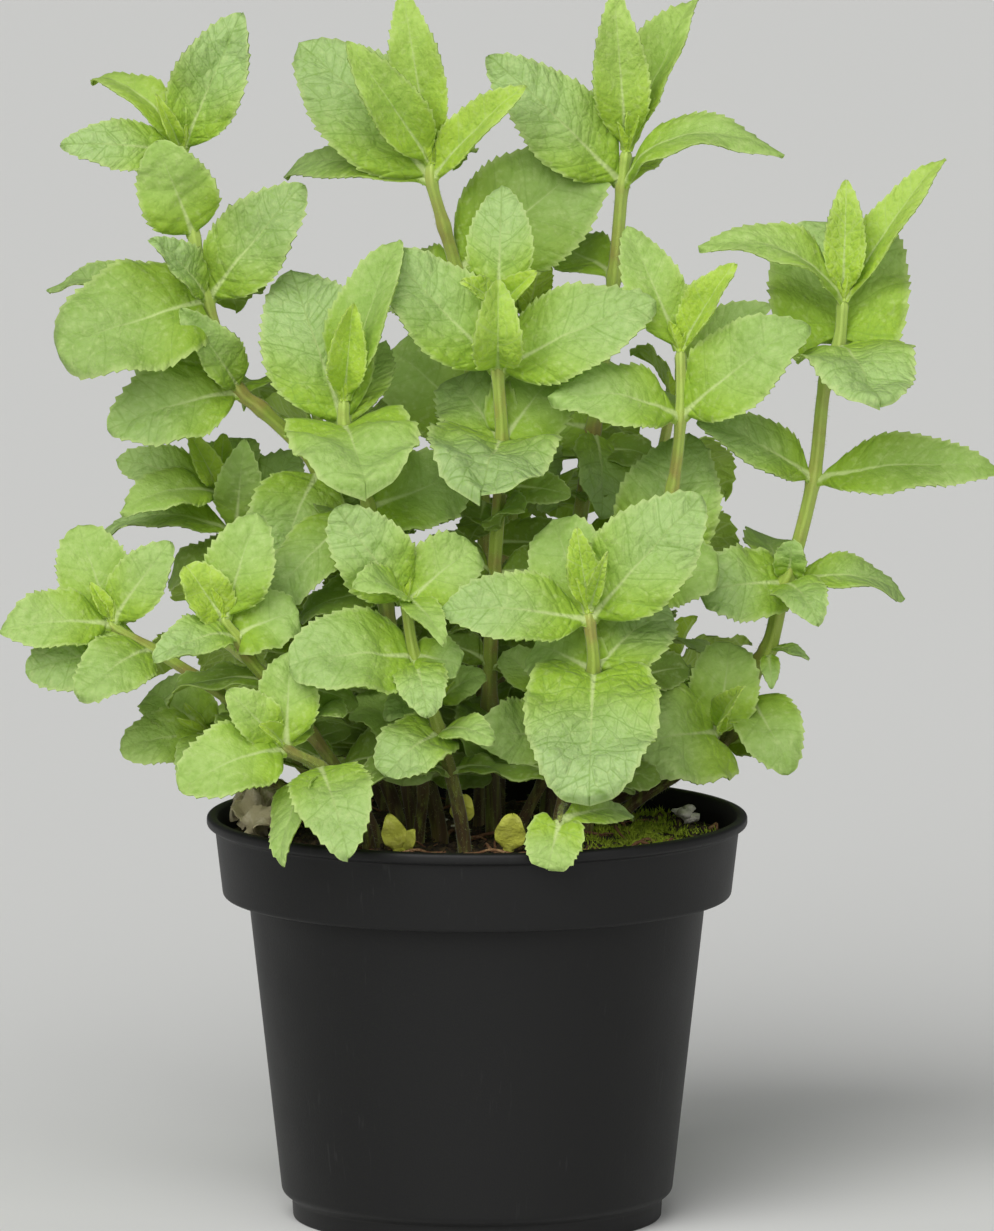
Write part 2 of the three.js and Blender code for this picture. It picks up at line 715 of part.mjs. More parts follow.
// One leaf as a solid. Its stalk spreads from a point inside the stem to a diamond at the foot of the blade.
// Every second place along the blade's edge is the point of a tooth, and the midrib has a place at each
// notch. Both faces are split into the same triangles, with a thin wall round the edge between them.
function blade(foot, shape) {
  const { length, place } = leafSurface(foot, shape);
  const stalk = Math.min(STALK_LENGTH / length, 0.2);
  const teeth = clamp(Math.round(length / TOOTH_ROOM), 2, MOST_TEETH);
  const last = 2 * teeth;
  const points = [foot];
  const triangles = [];
  const add = (...where) => points.push(place(...where)) - 1;
  const put = (outward, a, b, c) => (outward > 0 ? triangles.push(a, b, c) : triangles.push(a, c, b));
  const share = (j) => lerp(stalk, 1, (j + (j % 2) * TOOTH_LEAN) / last);

  const midrib = (level) => {
    const thickness = (k) => (k === 0 ? STALK_HALF_THICKNESS : BLADE_HALF_THICKNESS);
    return Array.from({ length: teeth + 1 }, (_, k) => add(share(2 * k), 0, 0, level * thickness(k)));
  };
  const edge = (q, level, start, tip) => {
    const places = Array.from({ length: last - 1 }, (_, i) => {
      const j = i + 1;
      const tooth = j % 2 ? TOOTH * Math.min(1, shape.wide / FULL_TOOTH_WIDTH) : 0;
      const out = halfWidth((share(j) - stalk) / (1 - stalk), shape.wide, length) + tooth;
      return add(share(j), q, out, level * BLADE_HALF_THICKNESS);
    });
    return [start, ...places, tip];
  };
  const skin = (ribs, edges, outward) => {
    put(outward, 0, edges[0], ribs[0]);
    for (let j = 0; j < last; j += 2) {
      const [near, far] = [ribs[j / 2], ribs[j / 2 + 1]];
      put(outward, near, edges[j], edges[j + 1]);
      put(outward, near, edges[j + 1], far);
      if (edges[j + 2] !== far) put(outward, far, edges[j + 1], edges[j + 2]);
    }
  };

  const [upperRib, lowerRib] = [midrib(1), midrib(-1)];
  for (const q of [1, -1]) {
    const start = add(stalk, q, STALK_HALF_WIDTH, 0);
    const upper = edge(q, 1, start, upperRib.at(-1));
    const lower = edge(q, -1, start, lowerRib.at(-1));
    skin(upperRib, upper, q);
    skin(lowerRib, lower, -q);
    for (let j = 0; j < last; j++) {
      put(q, lower[j], lower[j + 1], upper[j + 1]);
      if (j > 0) put(q, lower[j], upper[j + 1], upper[j]);
    }
  }
  return solidOf(indexed(points, triangles));
}

// ---- The plant ----

function leafyShoot(shape) {
  const leaves = shape.nodes.flatMap((n) => n.leaves.map((one) => blade(n.at, one)));
  return wasm.Manifold.union([stem(shape), ...leaves]);
}

const plastic = new THREE.MeshStandardMaterial({ color: COLOURS.pot, roughness: 0.45, metalness: 0 });
const earth = new THREE.MeshStandardMaterial({ color: COLOURS.soil, roughness: 1, metalness: 0 });
const green = new THREE.MeshStandardMaterial({ color: COLOURS.leaf, roughness: 0.6, metalness: 0 });

const plant = new THREE.Group();
plant.add(meshOf("pot", pot(), plastic));
plant.add(meshOf("soil", soil(), earth));
for (const shape of SHOOTS) {
  plant.add(meshOf(shape.name, leafyShoot(shape), green));
}

export default plant;
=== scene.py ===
"""A potted mint plant: its finish and its fine shapes, built round a fixed frame.

The frame holds the pot, the block of soil and the leafy shoots as plain solids in metres, +Z up, with the
front at -Y. Here fine leaves and a ribbed stem take each shoot's place. They grow, in millimetres, from the
layout that its solid comes from, with a few leaves moved or added. The pot and the soil give way to finer
shells, and the small things that lie on the soil are added.
"""

import logging
import math
from dataclasses import dataclass
from enum import Enum

import bmesh
import bpy
import numpy as np
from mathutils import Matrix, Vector


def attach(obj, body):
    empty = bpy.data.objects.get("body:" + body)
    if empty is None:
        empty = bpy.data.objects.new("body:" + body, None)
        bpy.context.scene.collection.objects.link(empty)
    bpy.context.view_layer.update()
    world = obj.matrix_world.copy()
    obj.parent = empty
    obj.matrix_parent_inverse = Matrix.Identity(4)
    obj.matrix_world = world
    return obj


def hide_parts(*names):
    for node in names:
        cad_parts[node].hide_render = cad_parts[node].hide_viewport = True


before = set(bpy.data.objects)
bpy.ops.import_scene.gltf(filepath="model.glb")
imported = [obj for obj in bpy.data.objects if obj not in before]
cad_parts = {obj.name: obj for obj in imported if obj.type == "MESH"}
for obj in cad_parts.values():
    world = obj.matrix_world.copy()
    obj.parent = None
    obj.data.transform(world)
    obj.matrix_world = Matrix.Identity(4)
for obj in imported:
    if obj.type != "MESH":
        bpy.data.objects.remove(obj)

Array = np.ndarray
Colour = tuple[float, float, float, float]
Values = Array | tuple[float, ...]
BLANK = (0.0, 0.0, 0.0, 0.0)

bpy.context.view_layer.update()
MM = 0.001
TURN = 2 * np.pi

log = logging.getLogger("mint")

# ---- Driving dimensions in millimetres, and shares, as in the solids ----

POT_HEIGHT = 98.0
SOIL_TOP = POT_HEIGHT - 6.0
WALL = 1.2
GAP = 0.35
UPRIGHT = 1.8
ROOTED = 20.0
STALK_LENGTH = 3.4
CUP = 0.12
WIDEST = 0.82
BUD = 1.5

VIEW_TILT = math.radians(7.7)
VIEW_DISTANCE = 3500.0
VIEW_RIGHT = 4.8
VIEW_RISE = 48.2
VIEW_HEIGHT = 296.3


# ---- The layout ----


def seen(x: float, y: float, h: float) -> Array:
    """The place seen x right of the pot's middle and h over its rim, and lying y behind the middle."""
    sin, cos = math.sin(VIEW_TILT), math.cos(VIEW_TILT)
    right, up = x - VIEW_RIGHT, h - VIEW_RISE
    away = (y - up * sin) / (cos + up * sin / VIEW_DISTANCE)
    grow = 1 + away / VIEW_DISTANCE
    z = POT_HEIGHT + VIEW_RISE + up * grow * cos - away * sin
    return np.array([VIEW_RIGHT + right * grow, y, z])


@dataclass(frozen=True)
class Leaf:
    """One leaf of the layout: where its tip is, its width, its arch as a share of its length, and its fold,
    turn and side in degrees."""

    tip: Array
    wide: float
    arch: float
    fold: float
    turn: float
    side: float


@dataclass(frozen=True)
class Node:
    """A node of a stem and the leaves that leave it."""

    at: Array
    leaves: tuple[Leaf, ...]


def leaf(
    x: float, y: float, h: float, wide: float, arch: float, fold: float, turn: float, side: float = 0
) -> Leaf:
    """A leaf whose tip is seen at x, y, h. Turn leans its face from up (0) towards the viewer (90) or away
    (-90), and side swings it from there towards +X."""
    return Leaf(seen(x, y, h), wide, arch, fold, turn, side)


def node(x: float, y: float, h: float, *leaves: Leaf) -> Node:
    """A node that is seen at x, y, h."""
    return Node(seen(x, y, h), leaves)


# ---- Shapes as arrays ----


def smooth(x: Array | float, low: float, high: float) -> Array:
    """0 below low, 1 above high, and a smooth step between them."""
    share = np.clip((np.asarray(x, float) - low) / (high - low), 0, 1)
    return share * share * (3 - 2 * share)


def fade(x: Array | float, start: Array | float, end: Array | float) -> Array:
    """Start where x is 0, end where x is 1, and a straight change between them."""
    return start + (end - start) * np.clip(x, 0, 1)


def unit(vectors: Array) -> Array:
    """The same directions at length 1."""
    return vectors / np.linalg.norm(vectors, axis=-1, keepdims=True)


def ripple(x: Array, y: Array, size: float, seed: int, waves: int = 6) -> Array:
    """Smooth noise, mostly from -1 to 1: a sum of sine waves of random directions, each about size long."""
    draw = np.random.default_rng(seed)
    angle, phase = draw.uniform(0, TURN, (2, waves))
    pace = TURN / (size * draw.uniform(0.7, 1.5, waves))
    ways = zip(pace, np.cos(angle), np.sin(angle), phase)
    return sum(np.sin(p * (x * cos + y * sin) + start) for p, cos, sin, start in ways) / math.sqrt(waves)


def through(places: Array, shares: Array) -> tuple[Array, Array]:
    """Points and directions on the smooth line through some places.

    The line is a centripetal Catmull-Rom curve: between two places it is the cubic whose slopes come from
    the places before and after, each span weighted by the root of its length.

    Args:
        places: The places, one in each row.
        shares: Where on the line, from 0 to 1, with the same share for each span.

    Returns:
        The points and the directions there, one in each row.
    """
    p = np.vstack([2 * places[0] - places[1], places, 2 * places[-1] - places[-2]])
    spans = len(places) - 1
    at = np.clip(shares, 0, 1) * spans
    k = np.minimum(at.astype(int), spans - 1)
    u = (at - k)[:, None]
    p0, p1, p2, p3 = (p[k + ahead] for ahead in range(4))
    d0, d1, d2 = (np.sqrt(np.linalg.norm(b - a, axis=1))[:, None] for a, b in ((p0, p1), (p1, p2), (p2, p3)))
    slope1 = ((p1 - p0) / d0 - (p2 - p0) / (d0 + d1) + (p2 - p1) / d1) * d1
    slope2 = ((p2 - p1) / d1 - (p3 - p1) / (d1 + d2) + (p3 - p2) / d2) * d1
    square = 3 * (p2 - p1) - 2 * slope1 - slope2
    cube = 2 * (p1 - p2) + slope1 + slope2
    return p1 + slope1 * u + square * u**2 + cube * u**3, unit(slope1 + 2 * square * u + 3 * cube * u**2)


def across(ahead: Array) -> tuple[Array, Array]:
    """Two directions across each direction of a line: where it points up, to its left and to its front."""
    left = unit(np.cross(ahead, [0.0, 1.0, 0.0]))
    return left, np.cross(ahead, left)


def cells(rows: int, columns: int, closed: bool = False) -> Array:
    """The corner numbers of each cell of a grid, anticlockwise where columns run right and rows run up.

    Args:
        rows: Rows of points.
        columns: Points in a row.
        closed: Whether the last column joins the first.

    Returns:
        Corner numbers, shaped (rows - 1, cells in a row, 4).
    """
    number = np.arange(rows * columns).reshape(rows, columns)
    after = np.roll(number, -1, axis=1)
    if not closed:
        number, after = number[:, :-1], after[:, :-1]
    return np.stack([number[:-1], after[:-1], after[1:], number[1:]], axis=-1)


def placed(name: str, data: bpy.types.ID) -> bpy.types.Object:
    """A new object of the scene, at the origin."""
    made = bpy.data.objects.new(name, data)
    bpy.context.scene.collection.objects.link(made)
    return made


class Skin:
    """Sheets of faces with their values, gathered into one mesh."""

    def __init__(self) -> None:
        """Starts with nothing."""
        self.count = 0
        self.points: list[Array] = []
        self.faces: list[Array] = []
        self.maps: list[list[Array]] = [[], []]
        self.looks: list[Array] = []

    def add(
        self,
        points: Array,
        *faces: Array,
        maps: tuple[Array, Array] | None = None,
        look: Values = BLANK,
    ) -> None:
        """Adds one sheet.

        Args:
            points: Its points in millimetres.
            faces: The numbers of each face's corners, each array with as many corners to a face.
            maps: Two map coordinates for each corner of each face, twice, or none.
            look: Four values for each point, or four for all of them.
        """
        points = points.reshape(-1, 3)
        flat = [part.reshape(-1, part.shape[-1]) + self.count for part in faces]
        self.points.append(points)
        self.faces.extend(flat)
        blank = np.zeros((sum(part.size for part in flat), 2))
        for kept, new in zip(self.maps, maps or (blank, blank)):
            kept.append(new.reshape(-1, 2))
        self.looks.append(np.broadcast_to(np.asarray(look, float), (len(points), 4)))
        self.count += len(points)

    def piece(self, name: str, sharp: float = 180.0, weld: bool = False) -> bpy.types.Object:
        """Makes the mesh object, with smooth faces.

        Args:
            name: The piece's name.
            sharp: The angle over which the edge between two faces stays sharp.
            weld: Whether points that lie in one place are joined, such as those at a pole.

        Returns:
            The piece.
        """
        mesh = bpy.data.meshes.new(name)
        sizes = np.concatenate([np.full(len(f), f.shape[1]) for f in self.faces])
        corners = np.concatenate([f.ravel() for f in self.faces])
        mesh.vertices.add(self.count)
        mesh.vertices.foreach_set("co", (np.concatenate(self.points) * MM).astype(np.float32).ravel())
        mesh.loops.add(len(corners))
        mesh.loops.foreach_set("vertex_index", corners.astype(np.int32))
        mesh.polygons.add(len(sizes))
        mesh.polygons.foreach_set("loop_start", np.append(0, np.cumsum(sizes)[:-1]).astype(np.int32))
        mesh.update(calc_edges=True)
        for label, values in zip(("veins", "place"), self.maps):
            layer = mesh.uv_layers.new(name=label)
            layer.uv.foreach_set("vector", np.concatenate(values).astype(np.float32).ravel())
        look = mesh.attributes.new("look", "FLOAT_COLOR", "POINT")
        look.data.foreach_set("color", np.concatenate(self.looks).astype(np.float32).ravel())
        mesh.shade_smooth()
        if weld:
            form = bmesh.new()
            form.from_mesh(mesh)
            bmesh.ops.remove_doubles(form, verts=form.verts, dist=1e-6)
            form.to_mesh(mesh)
            form.free()
        if sharp < 180:
            mesh.set_sharp_from_angle(angle=math.radians(sharp))
        return placed(name, mesh)

    def tube(self, line: Array, ahead: Array, section: Array, look: Values = BLANK) -> None:
        """Adds a rod with capped ends: a section carried along a line, its first corner to the left.

        Args:
            line: The line's points, one in each row.
            ahead: The line's directions.
            section: How far the outside lies from the line, for each point and each corner round it.
            look: As in add, for each point of the line.
        """
        rings, sides = section.shape
        left, front = across(ahead)
        turn = np.linspace(0, TURN, sides, endpoint=False)[:, None]
        out = left[:, None] * np.cos(turn) + front[:, None] * np.sin(turn)
        points = np.vstack([(line[:, None] + out * section[..., None]).reshape(-1, 3), line[[0, -1]]])
        ring = np.arange(sides)
        last = ring + (rings - 1) * sides
        foot = np.stack([np.roll(ring, -1), ring, np.full(sides, rings * sides)], axis=1)
        top = np.stack([last, np.roll(last, -1), np.full(sides, rings * sides + 1)], axis=1)
        values = np.broadcast_to(np.asarray(look, float), (rings, 4))
        values = np.vstack([np.repeat(values, sides, axis=0), values[[0, -1]]])
        self.add(points, cells(rings, sides, closed=True), foot, top, look=values)

    def spikes(self, feet: Array, tips: Array, look: Values = BLANK) -> None:
        """Adds many closed three-sided spikes, each from its foot's three corners to its tip."""
        corners = np.array([[0, 1, 3], [1, 2, 3], [2, 0, 3], [0, 2, 1]])
        faces = corners + 4 * np.arange(len(tips))[:, None, None]
        self.add(np.concatenate([feet, tips[:, None]], axis=1), faces, look=look)


# ---- Leaves ----


@dataclass
class Blade:
    """The fine form of one leaf, on the surface that its solid has.

    A grid of rows runs from the midrib to the edge, each row sweeping forward as a side vein does, so that
    the side veins and the teeth lie on rows. Its middle surface is quilted between the veins.
    """

    foot: Array
    shape: Leaf
    seed: int
    fewest_teeth: int = 5
    most_teeth: int = 18
    tooth: float = 0.7
    sweep: float = 0.66
    lobe: float = 0.24
    full_width: float = 18.0
    skin_half: float = 0.17
    rib: float = 0.5
    quilt: float = 0.21
    pucker: float = 0.12
    wave: float = 0.1
    swell: float = 0.06
    most_curl: float = 0.12
    most_twist: float = 16.0
    droop: tuple[float, float] = (-0.01, 0.06)
    vein_step: float = 8.0
    bare_stalk: float = 0.5
    most_stalk: float = 0.12
    stalk_rows: int = 4
    long_leaf: float = 24.0
    fine: float = 0.9
    fewest_columns: int = 4
    most_columns: int = 16
    dry: float = 0.0

    def __post_init__(self) -> None:
        """Works out the leaf's length and directions: along it, the way its face looks, and across it."""
        reach = self.shape.tip - self.foot
        self.length = float(np.linalg.norm(reach))
        self.along = reach / self.length
        lean, swing = math.radians(self.shape.turn), math.radians(self.shape.side)
        level = math.cos(swing)
        face = np.array([math.sin(swing), -math.sin(lean) * level, math.cos(lean) * level])
        self.face = unit(face - self.along * (face @ self.along))
        self.across = np.cross(self.along, self.face)
        self.half = self.shape.wide / 2
        self.breadth = self.shape.wide / self.length
        self.size = min(1.0, self.shape.wide / self.full_width)
        self.stalk = min(self.bare_stalk * STALK_LENGTH / self.length, self.most_stalk)
        self.teeth = int(np.clip(round(4 + 0.3 * self.length), self.fewest_teeth, self.most_teeth))
        self.side_veins = max(3, round(self.length / self.vein_step))
        self.steps = 5 if self.length > self.long_leaf else 4
        columns = round(self.half / self.fine)
        self.columns = int(np.clip(columns, self.fewest_columns, self.most_columns))

    def half_width(self, u: Array) -> Array:
        """A sine hump, widest towards the foot, and blunter at the tip and on a broad leaf."""
        blunt = 0.94 - 0.53 * min(self.breadth, 0.95) - 0.17 * smooth(self.breadth, 0.6, 0.8)
        return self.half * np.sin(np.pi * np.clip(u, 0, 1) ** WIDEST) ** (blunt + 0.24 * (1 - u) ** 2)

    def outline(self, m: Array, s: Array) -> tuple[Array, Array]:
        """Where the grid's points lie in the flat leaf.

        A row at share m of the edge leaves the midrib further back and sweeps forward as a power of s, the
        share of the way out. The edge rises slowly over each tooth and drops at its point, and the teeth
        lean forward. A broad leaf's foot reaches back on both sides of its stalk in two lobes.

        Args:
            m: Shares along the edge, one for each row.
            s: Shares across, from -1 to 1, one for each column.

        Returns:
            The places along the midrib and across it, in millimetres.
        """
        blade = self.length * (1 - self.stalk)
        out = np.abs(s)
        sweep = min(self.sweep * blade / np.pi, 0.95 * self.half) * np.sin(np.pi * m)
        tooth, step = np.divmod(np.arange(len(m)), self.steps)
        large = np.random.default_rng(self.seed + 2).uniform(0.55, 1.25, (self.teeth + 1, 2))[tooth]
        saw = (step[:, None] / (self.steps - 1)) ** 1.5 * np.where(s > 0, large[:, :1], large[:, 1:])
        saw = saw * smooth(m, 0.05, 0.2) * (1 - smooth(m, 0.95, 1.0)) * self.tooth * self.size
        petiole = fade(m / 0.25, 0.7 + 0.6 * self.size, 0.05)
        half = np.cbrt(self.half_width(m) ** 3 + petiole**3)
        lobe = self.lobe * self.shape.wide * smooth(self.breadth, 0.65, 0.95)
        lobe = lobe * smooth(m, 0.0, 0.07) * (1 - smooth(m, 0.05, 0.5)) * out**1.5
        start = self.stalk * self.length
        along = start + m * blade - sweep * (1 - out**1.15) + 0.4 * saw * out**6 - lobe
        return along, np.sign(s) * (out * half + saw * out**6)

    def grid(self, draw: np.random.Generator) -> tuple[Array, Array, Array, Array]:
        """The flat leaf's grid. Its first rows are the bare stalk's, and the others are unevenly spaced.

        Returns:
            Shares along the edge and across, and the places along the midrib and across it.
        """
        s = np.linspace(-1, 1, 2 * self.columns + 1)[None, :]
        m = np.linspace(0, 1, self.teeth * self.steps + 1)[:, None]
        uneven = np.sin(draw.uniform(7, 12) * m + draw.uniform(0, 6))
        m = m + 0.35 / self.teeth * np.sin(np.pi * m) * uneven
        a, b = self.outline(m, s)
        start = np.linspace(0.12, 0.88, self.stalk_rows)[:, None]
        a = np.vstack([start * self.stalk * self.length + 0 * s, a])
        b = np.vstack([s * (0.7 + 0.6 * self.size) * fade(start, 1.15, 1.0), b])
        return np.vstack([0 * start, m]), s, a, b

    def veins(self, m: Array, side: int, a: Array, b: Array) -> Array:
        """The vein coordinates of one half of the leaf.

        Args:
            m: Shares along the edge.
            side: 1 or -1, the half.
            a: Places along the midrib.
            b: Places across it.

        Returns:
            For each point, a number that is whole on each side vein, and the place along the midrib, from a
            start of the half's own.
        """
        right = side > 0
        number = self.side_veins * m + 0.3 * right + 0.07 * ripple(a, b, 16.0, self.seed + 3)
        return np.stack([number, 40.0 * (self.seed % 97) + 20.0 * right + a], axis=-1)

    def rise(
        self, draw: np.random.Generator, m: Array, s: Array, a: Array, b: Array, number: Array, young: float
    ) -> Array:
        """How far the middle surface stands over the leaf's arch.

        It is folded up along the midrib, cupped by the square of s, quilted by the sine of the side veins'
        number, waved at its edge, swollen and puckered by ripples, twisted and curled under, and its tip
        droops. A dry leaf is crumpled too.

        Args:
            draw: The leaf's random draws.
            m: Shares along the edge.
            s: Shares across.
            a: Places along the midrib.
            b: Places across it.
            number: Whole on each side vein.
            young: As in add_to.

        Returns:
            The rise of each point, in millimetres.
        """
        t = a / self.length
        out = np.abs(b)
        inner = smooth(out, 0.25, 1.6) * smooth(m, 0.02, 0.12) * (1 - smooth(m, 0.9, 1.0))
        pillow = np.abs(np.sin(np.pi * number)) ** 0.7 - 0.6
        quilting = inner * self.quilt * self.size * pillow * (1 - 0.5 * np.abs(s) ** 4)
        quilting = quilting + self.pucker * self.size * ripple(a, b, 5.0, self.seed + 15)
        fold = (np.hypot(out, 0.5) - 0.5) * math.sin(math.radians(self.shape.fold + 7 + 10 * max(young, 0)))
        curl = draw.uniform(0.0, self.most_curl) * self.half * np.abs(s) ** 5
        phase, pace = draw.uniform(0, TURN, 2), draw.uniform(11, 17, 2)
        wave = np.where(s >= 0, np.sin(pace[0] * t + phase[0]), np.sin(pace[1] * t + phase[1]))
        wave = wave * self.wave * self.half * s**2 * smooth(m, 0.05, 0.3)
        swell = self.swell * self.half * smooth(t, 0.0, 0.3) * ripple(a, b, 16.0, self.seed + 13)
        twist = b * math.sin(math.radians(draw.uniform(-self.most_twist, self.most_twist))) * t
        droop = draw.uniform(*self.droop) * self.length * smooth(t, 0.65, 1.05) ** 2
        rise = fold - CUP * self.half * s**2 + quilting + wave + swell + twist - curl - droop
        if self.dry:
            crumple = ripple(a, b, 0.4 * self.length, self.seed + 11) * (0.3 + s**2)
            rise = rise + self.dry * self.half * crumple
        return rise

    def place(self, a: Array, b: Array, rise: Array) -> Array:
        """Bends flat places onto the leaf's arch, as its solid is bent."""
        t = (a / self.length)[..., None]
        arch = self.shape.arch
        up = unit(self.face - self.along * 4 * arch * (1 - 2 * t))
        side = (b * math.cos(math.radians(self.shape.fold)))[..., None] * self.across
        line = self.foot + self.along * a[..., None] + self.face * 4 * arch * a[..., None] * (1 - t)
        return line + side + up * rise[..., None]

    def add_to(self, skin: Skin, tint: float, young: float) -> None:
        """Adds the leaf as one closed sheet: its upper face, its under face and the rim between them.

        Args:
            skin: What it goes into.
            tint: Its own shade, from 0 to 1.
            young: How young it is, from 0 to 1, or, below 0, how far it takes the darker olive of older
                leaves, which is partly painted shade.
        """
        draw = np.random.default_rng(self.seed)
        m, s, a, b = self.grid(draw)
        rows, columns = b.shape
        left, right = (self.veins(m, side, a, b) for side in (-1, 1))
        vein = np.where(s[..., None] >= 0, right, left)
        middle = self.place(a, b, self.rise(draw, m, s, a, b, vein[..., 0], young))

        normal = unit(np.cross(np.gradient(middle, axis=1), np.gradient(middle, axis=0)))
        petiole = 1 - smooth(m, 0.0, 0.1) + 0 * s
        rib = self.rib * self.size * (1 - m) ** 0.7 * np.exp(-((b / 0.6) ** 2))
        stalk_half = (0.6 + 0.5 * self.size) * np.sqrt(1 - 0.98 * s**2)
        above = fade(petiole, self.skin_half, 0.22 + 0.2 * np.abs(s))[..., None]
        below = fade(petiole, self.skin_half + rib, 0.12 + stalk_half)[..., None]
        points = np.stack([middle + normal * above, middle - normal * below])

        quads = cells(rows, columns).reshape(-1, 4)
        number = np.arange(rows * columns).reshape(rows, columns)
        way = [number[:, -1], number[::-1, 0], number[0], number[-1, ::-1]]
        start, end = np.hstack([[line[:-1], line[1:]] for line in way])
        under = rows * columns
        wall = np.stack([start + under, end + under, end, start], axis=1)

        on_right = np.broadcast_to(s[:, 1:] > 0, (rows - 1, columns - 1)).reshape(-1, 1, 1)
        veins = np.where(on_right, right.reshape(-1, 2)[quads], left.reshape(-1, 2)[quads])
        vein_map = [veins, veins[:, ::-1], vein.reshape(-1, 2)[wall % under]]
        spot = np.stack([np.abs(b), m + 0 * s], axis=-1).reshape(-1, 2)
        spot_map = [spot[quads], spot[quads[:, ::-1]], spot[wall % under]]
        look = np.zeros((2, rows, columns, 4))
        look[..., 0], look[..., 1], look[..., 3] = tint, young, np.abs(s)
        look[1, ..., 2] = 1
        maps = (np.vstack(vein_map), np.vstack(spot_map))
        skin.add(points, quads, quads[:, ::-1] + under, wall, maps=maps, look=look.reshape(-1, 4))


# ---- Finishes ----


def srgb(red: float, green: float, blue: float) -> Colour:
    """A colour given as a screen shows it, 0 to 255, as linear light."""
    values = (np.array([red, green, blue]) / 255.0 + 0.055) / 1.055
    return (*(float(v) for v in values**2.4), 1.0)


class Wire:
    """One output of a node. Python's operators on it add Math nodes."""

    def __init__(self, paint: "Paint", socket: bpy.types.NodeSocket) -> None:
        """Keeps the socket and the material that it belongs to."""
        self.paint = paint
        self.socket = socket

    def maths(self, operation: str, *values: "Wire | float") -> "Wire":
        """A Math node on some values."""
        return self.paint.add("ShaderNodeMath", {"operation": operation}, dict(enumerate(values)))

    def __add__(self, other: "Wire | float") -> "Wire":
        """self + other."""
        return self.maths("ADD", self, other)

    def __sub__(self, other: "Wire | float") -> "Wire":
        """self - other."""
        return self.maths("SUBTRACT", self, other)

    def __rsub__(self, other: float) -> "Wire":
        """other - self."""
        return self.maths("SUBTRACT", other, self)

    def __mul__(self, other: "Wire | float") -> "Wire":
        """self * other."""
        return self.maths("MULTIPLY", self, other)

    __radd__ = __add__
    __rmul__ = __mul__

    def to_whole(self) -> "Wire":
        """How far the value is from the nearest whole number."""
        return self.maths("PINGPONG", self, 0.5)

    def most(self, other: "Wire | float") -> "Wire":
        """The larger of two values."""
        return self.maths("MAXIMUM", self, other)

    def step(self, low: float, high: float) -> "Wire":
        """0 below low, 1 above high, and a smooth step between them."""
        inputs = {"Value": self, "From Min": low, "From Max": high}
        return self.paint.add("ShaderNodeMapRange", {"interpolation_type": "SMOOTHSTEP"}, inputs)


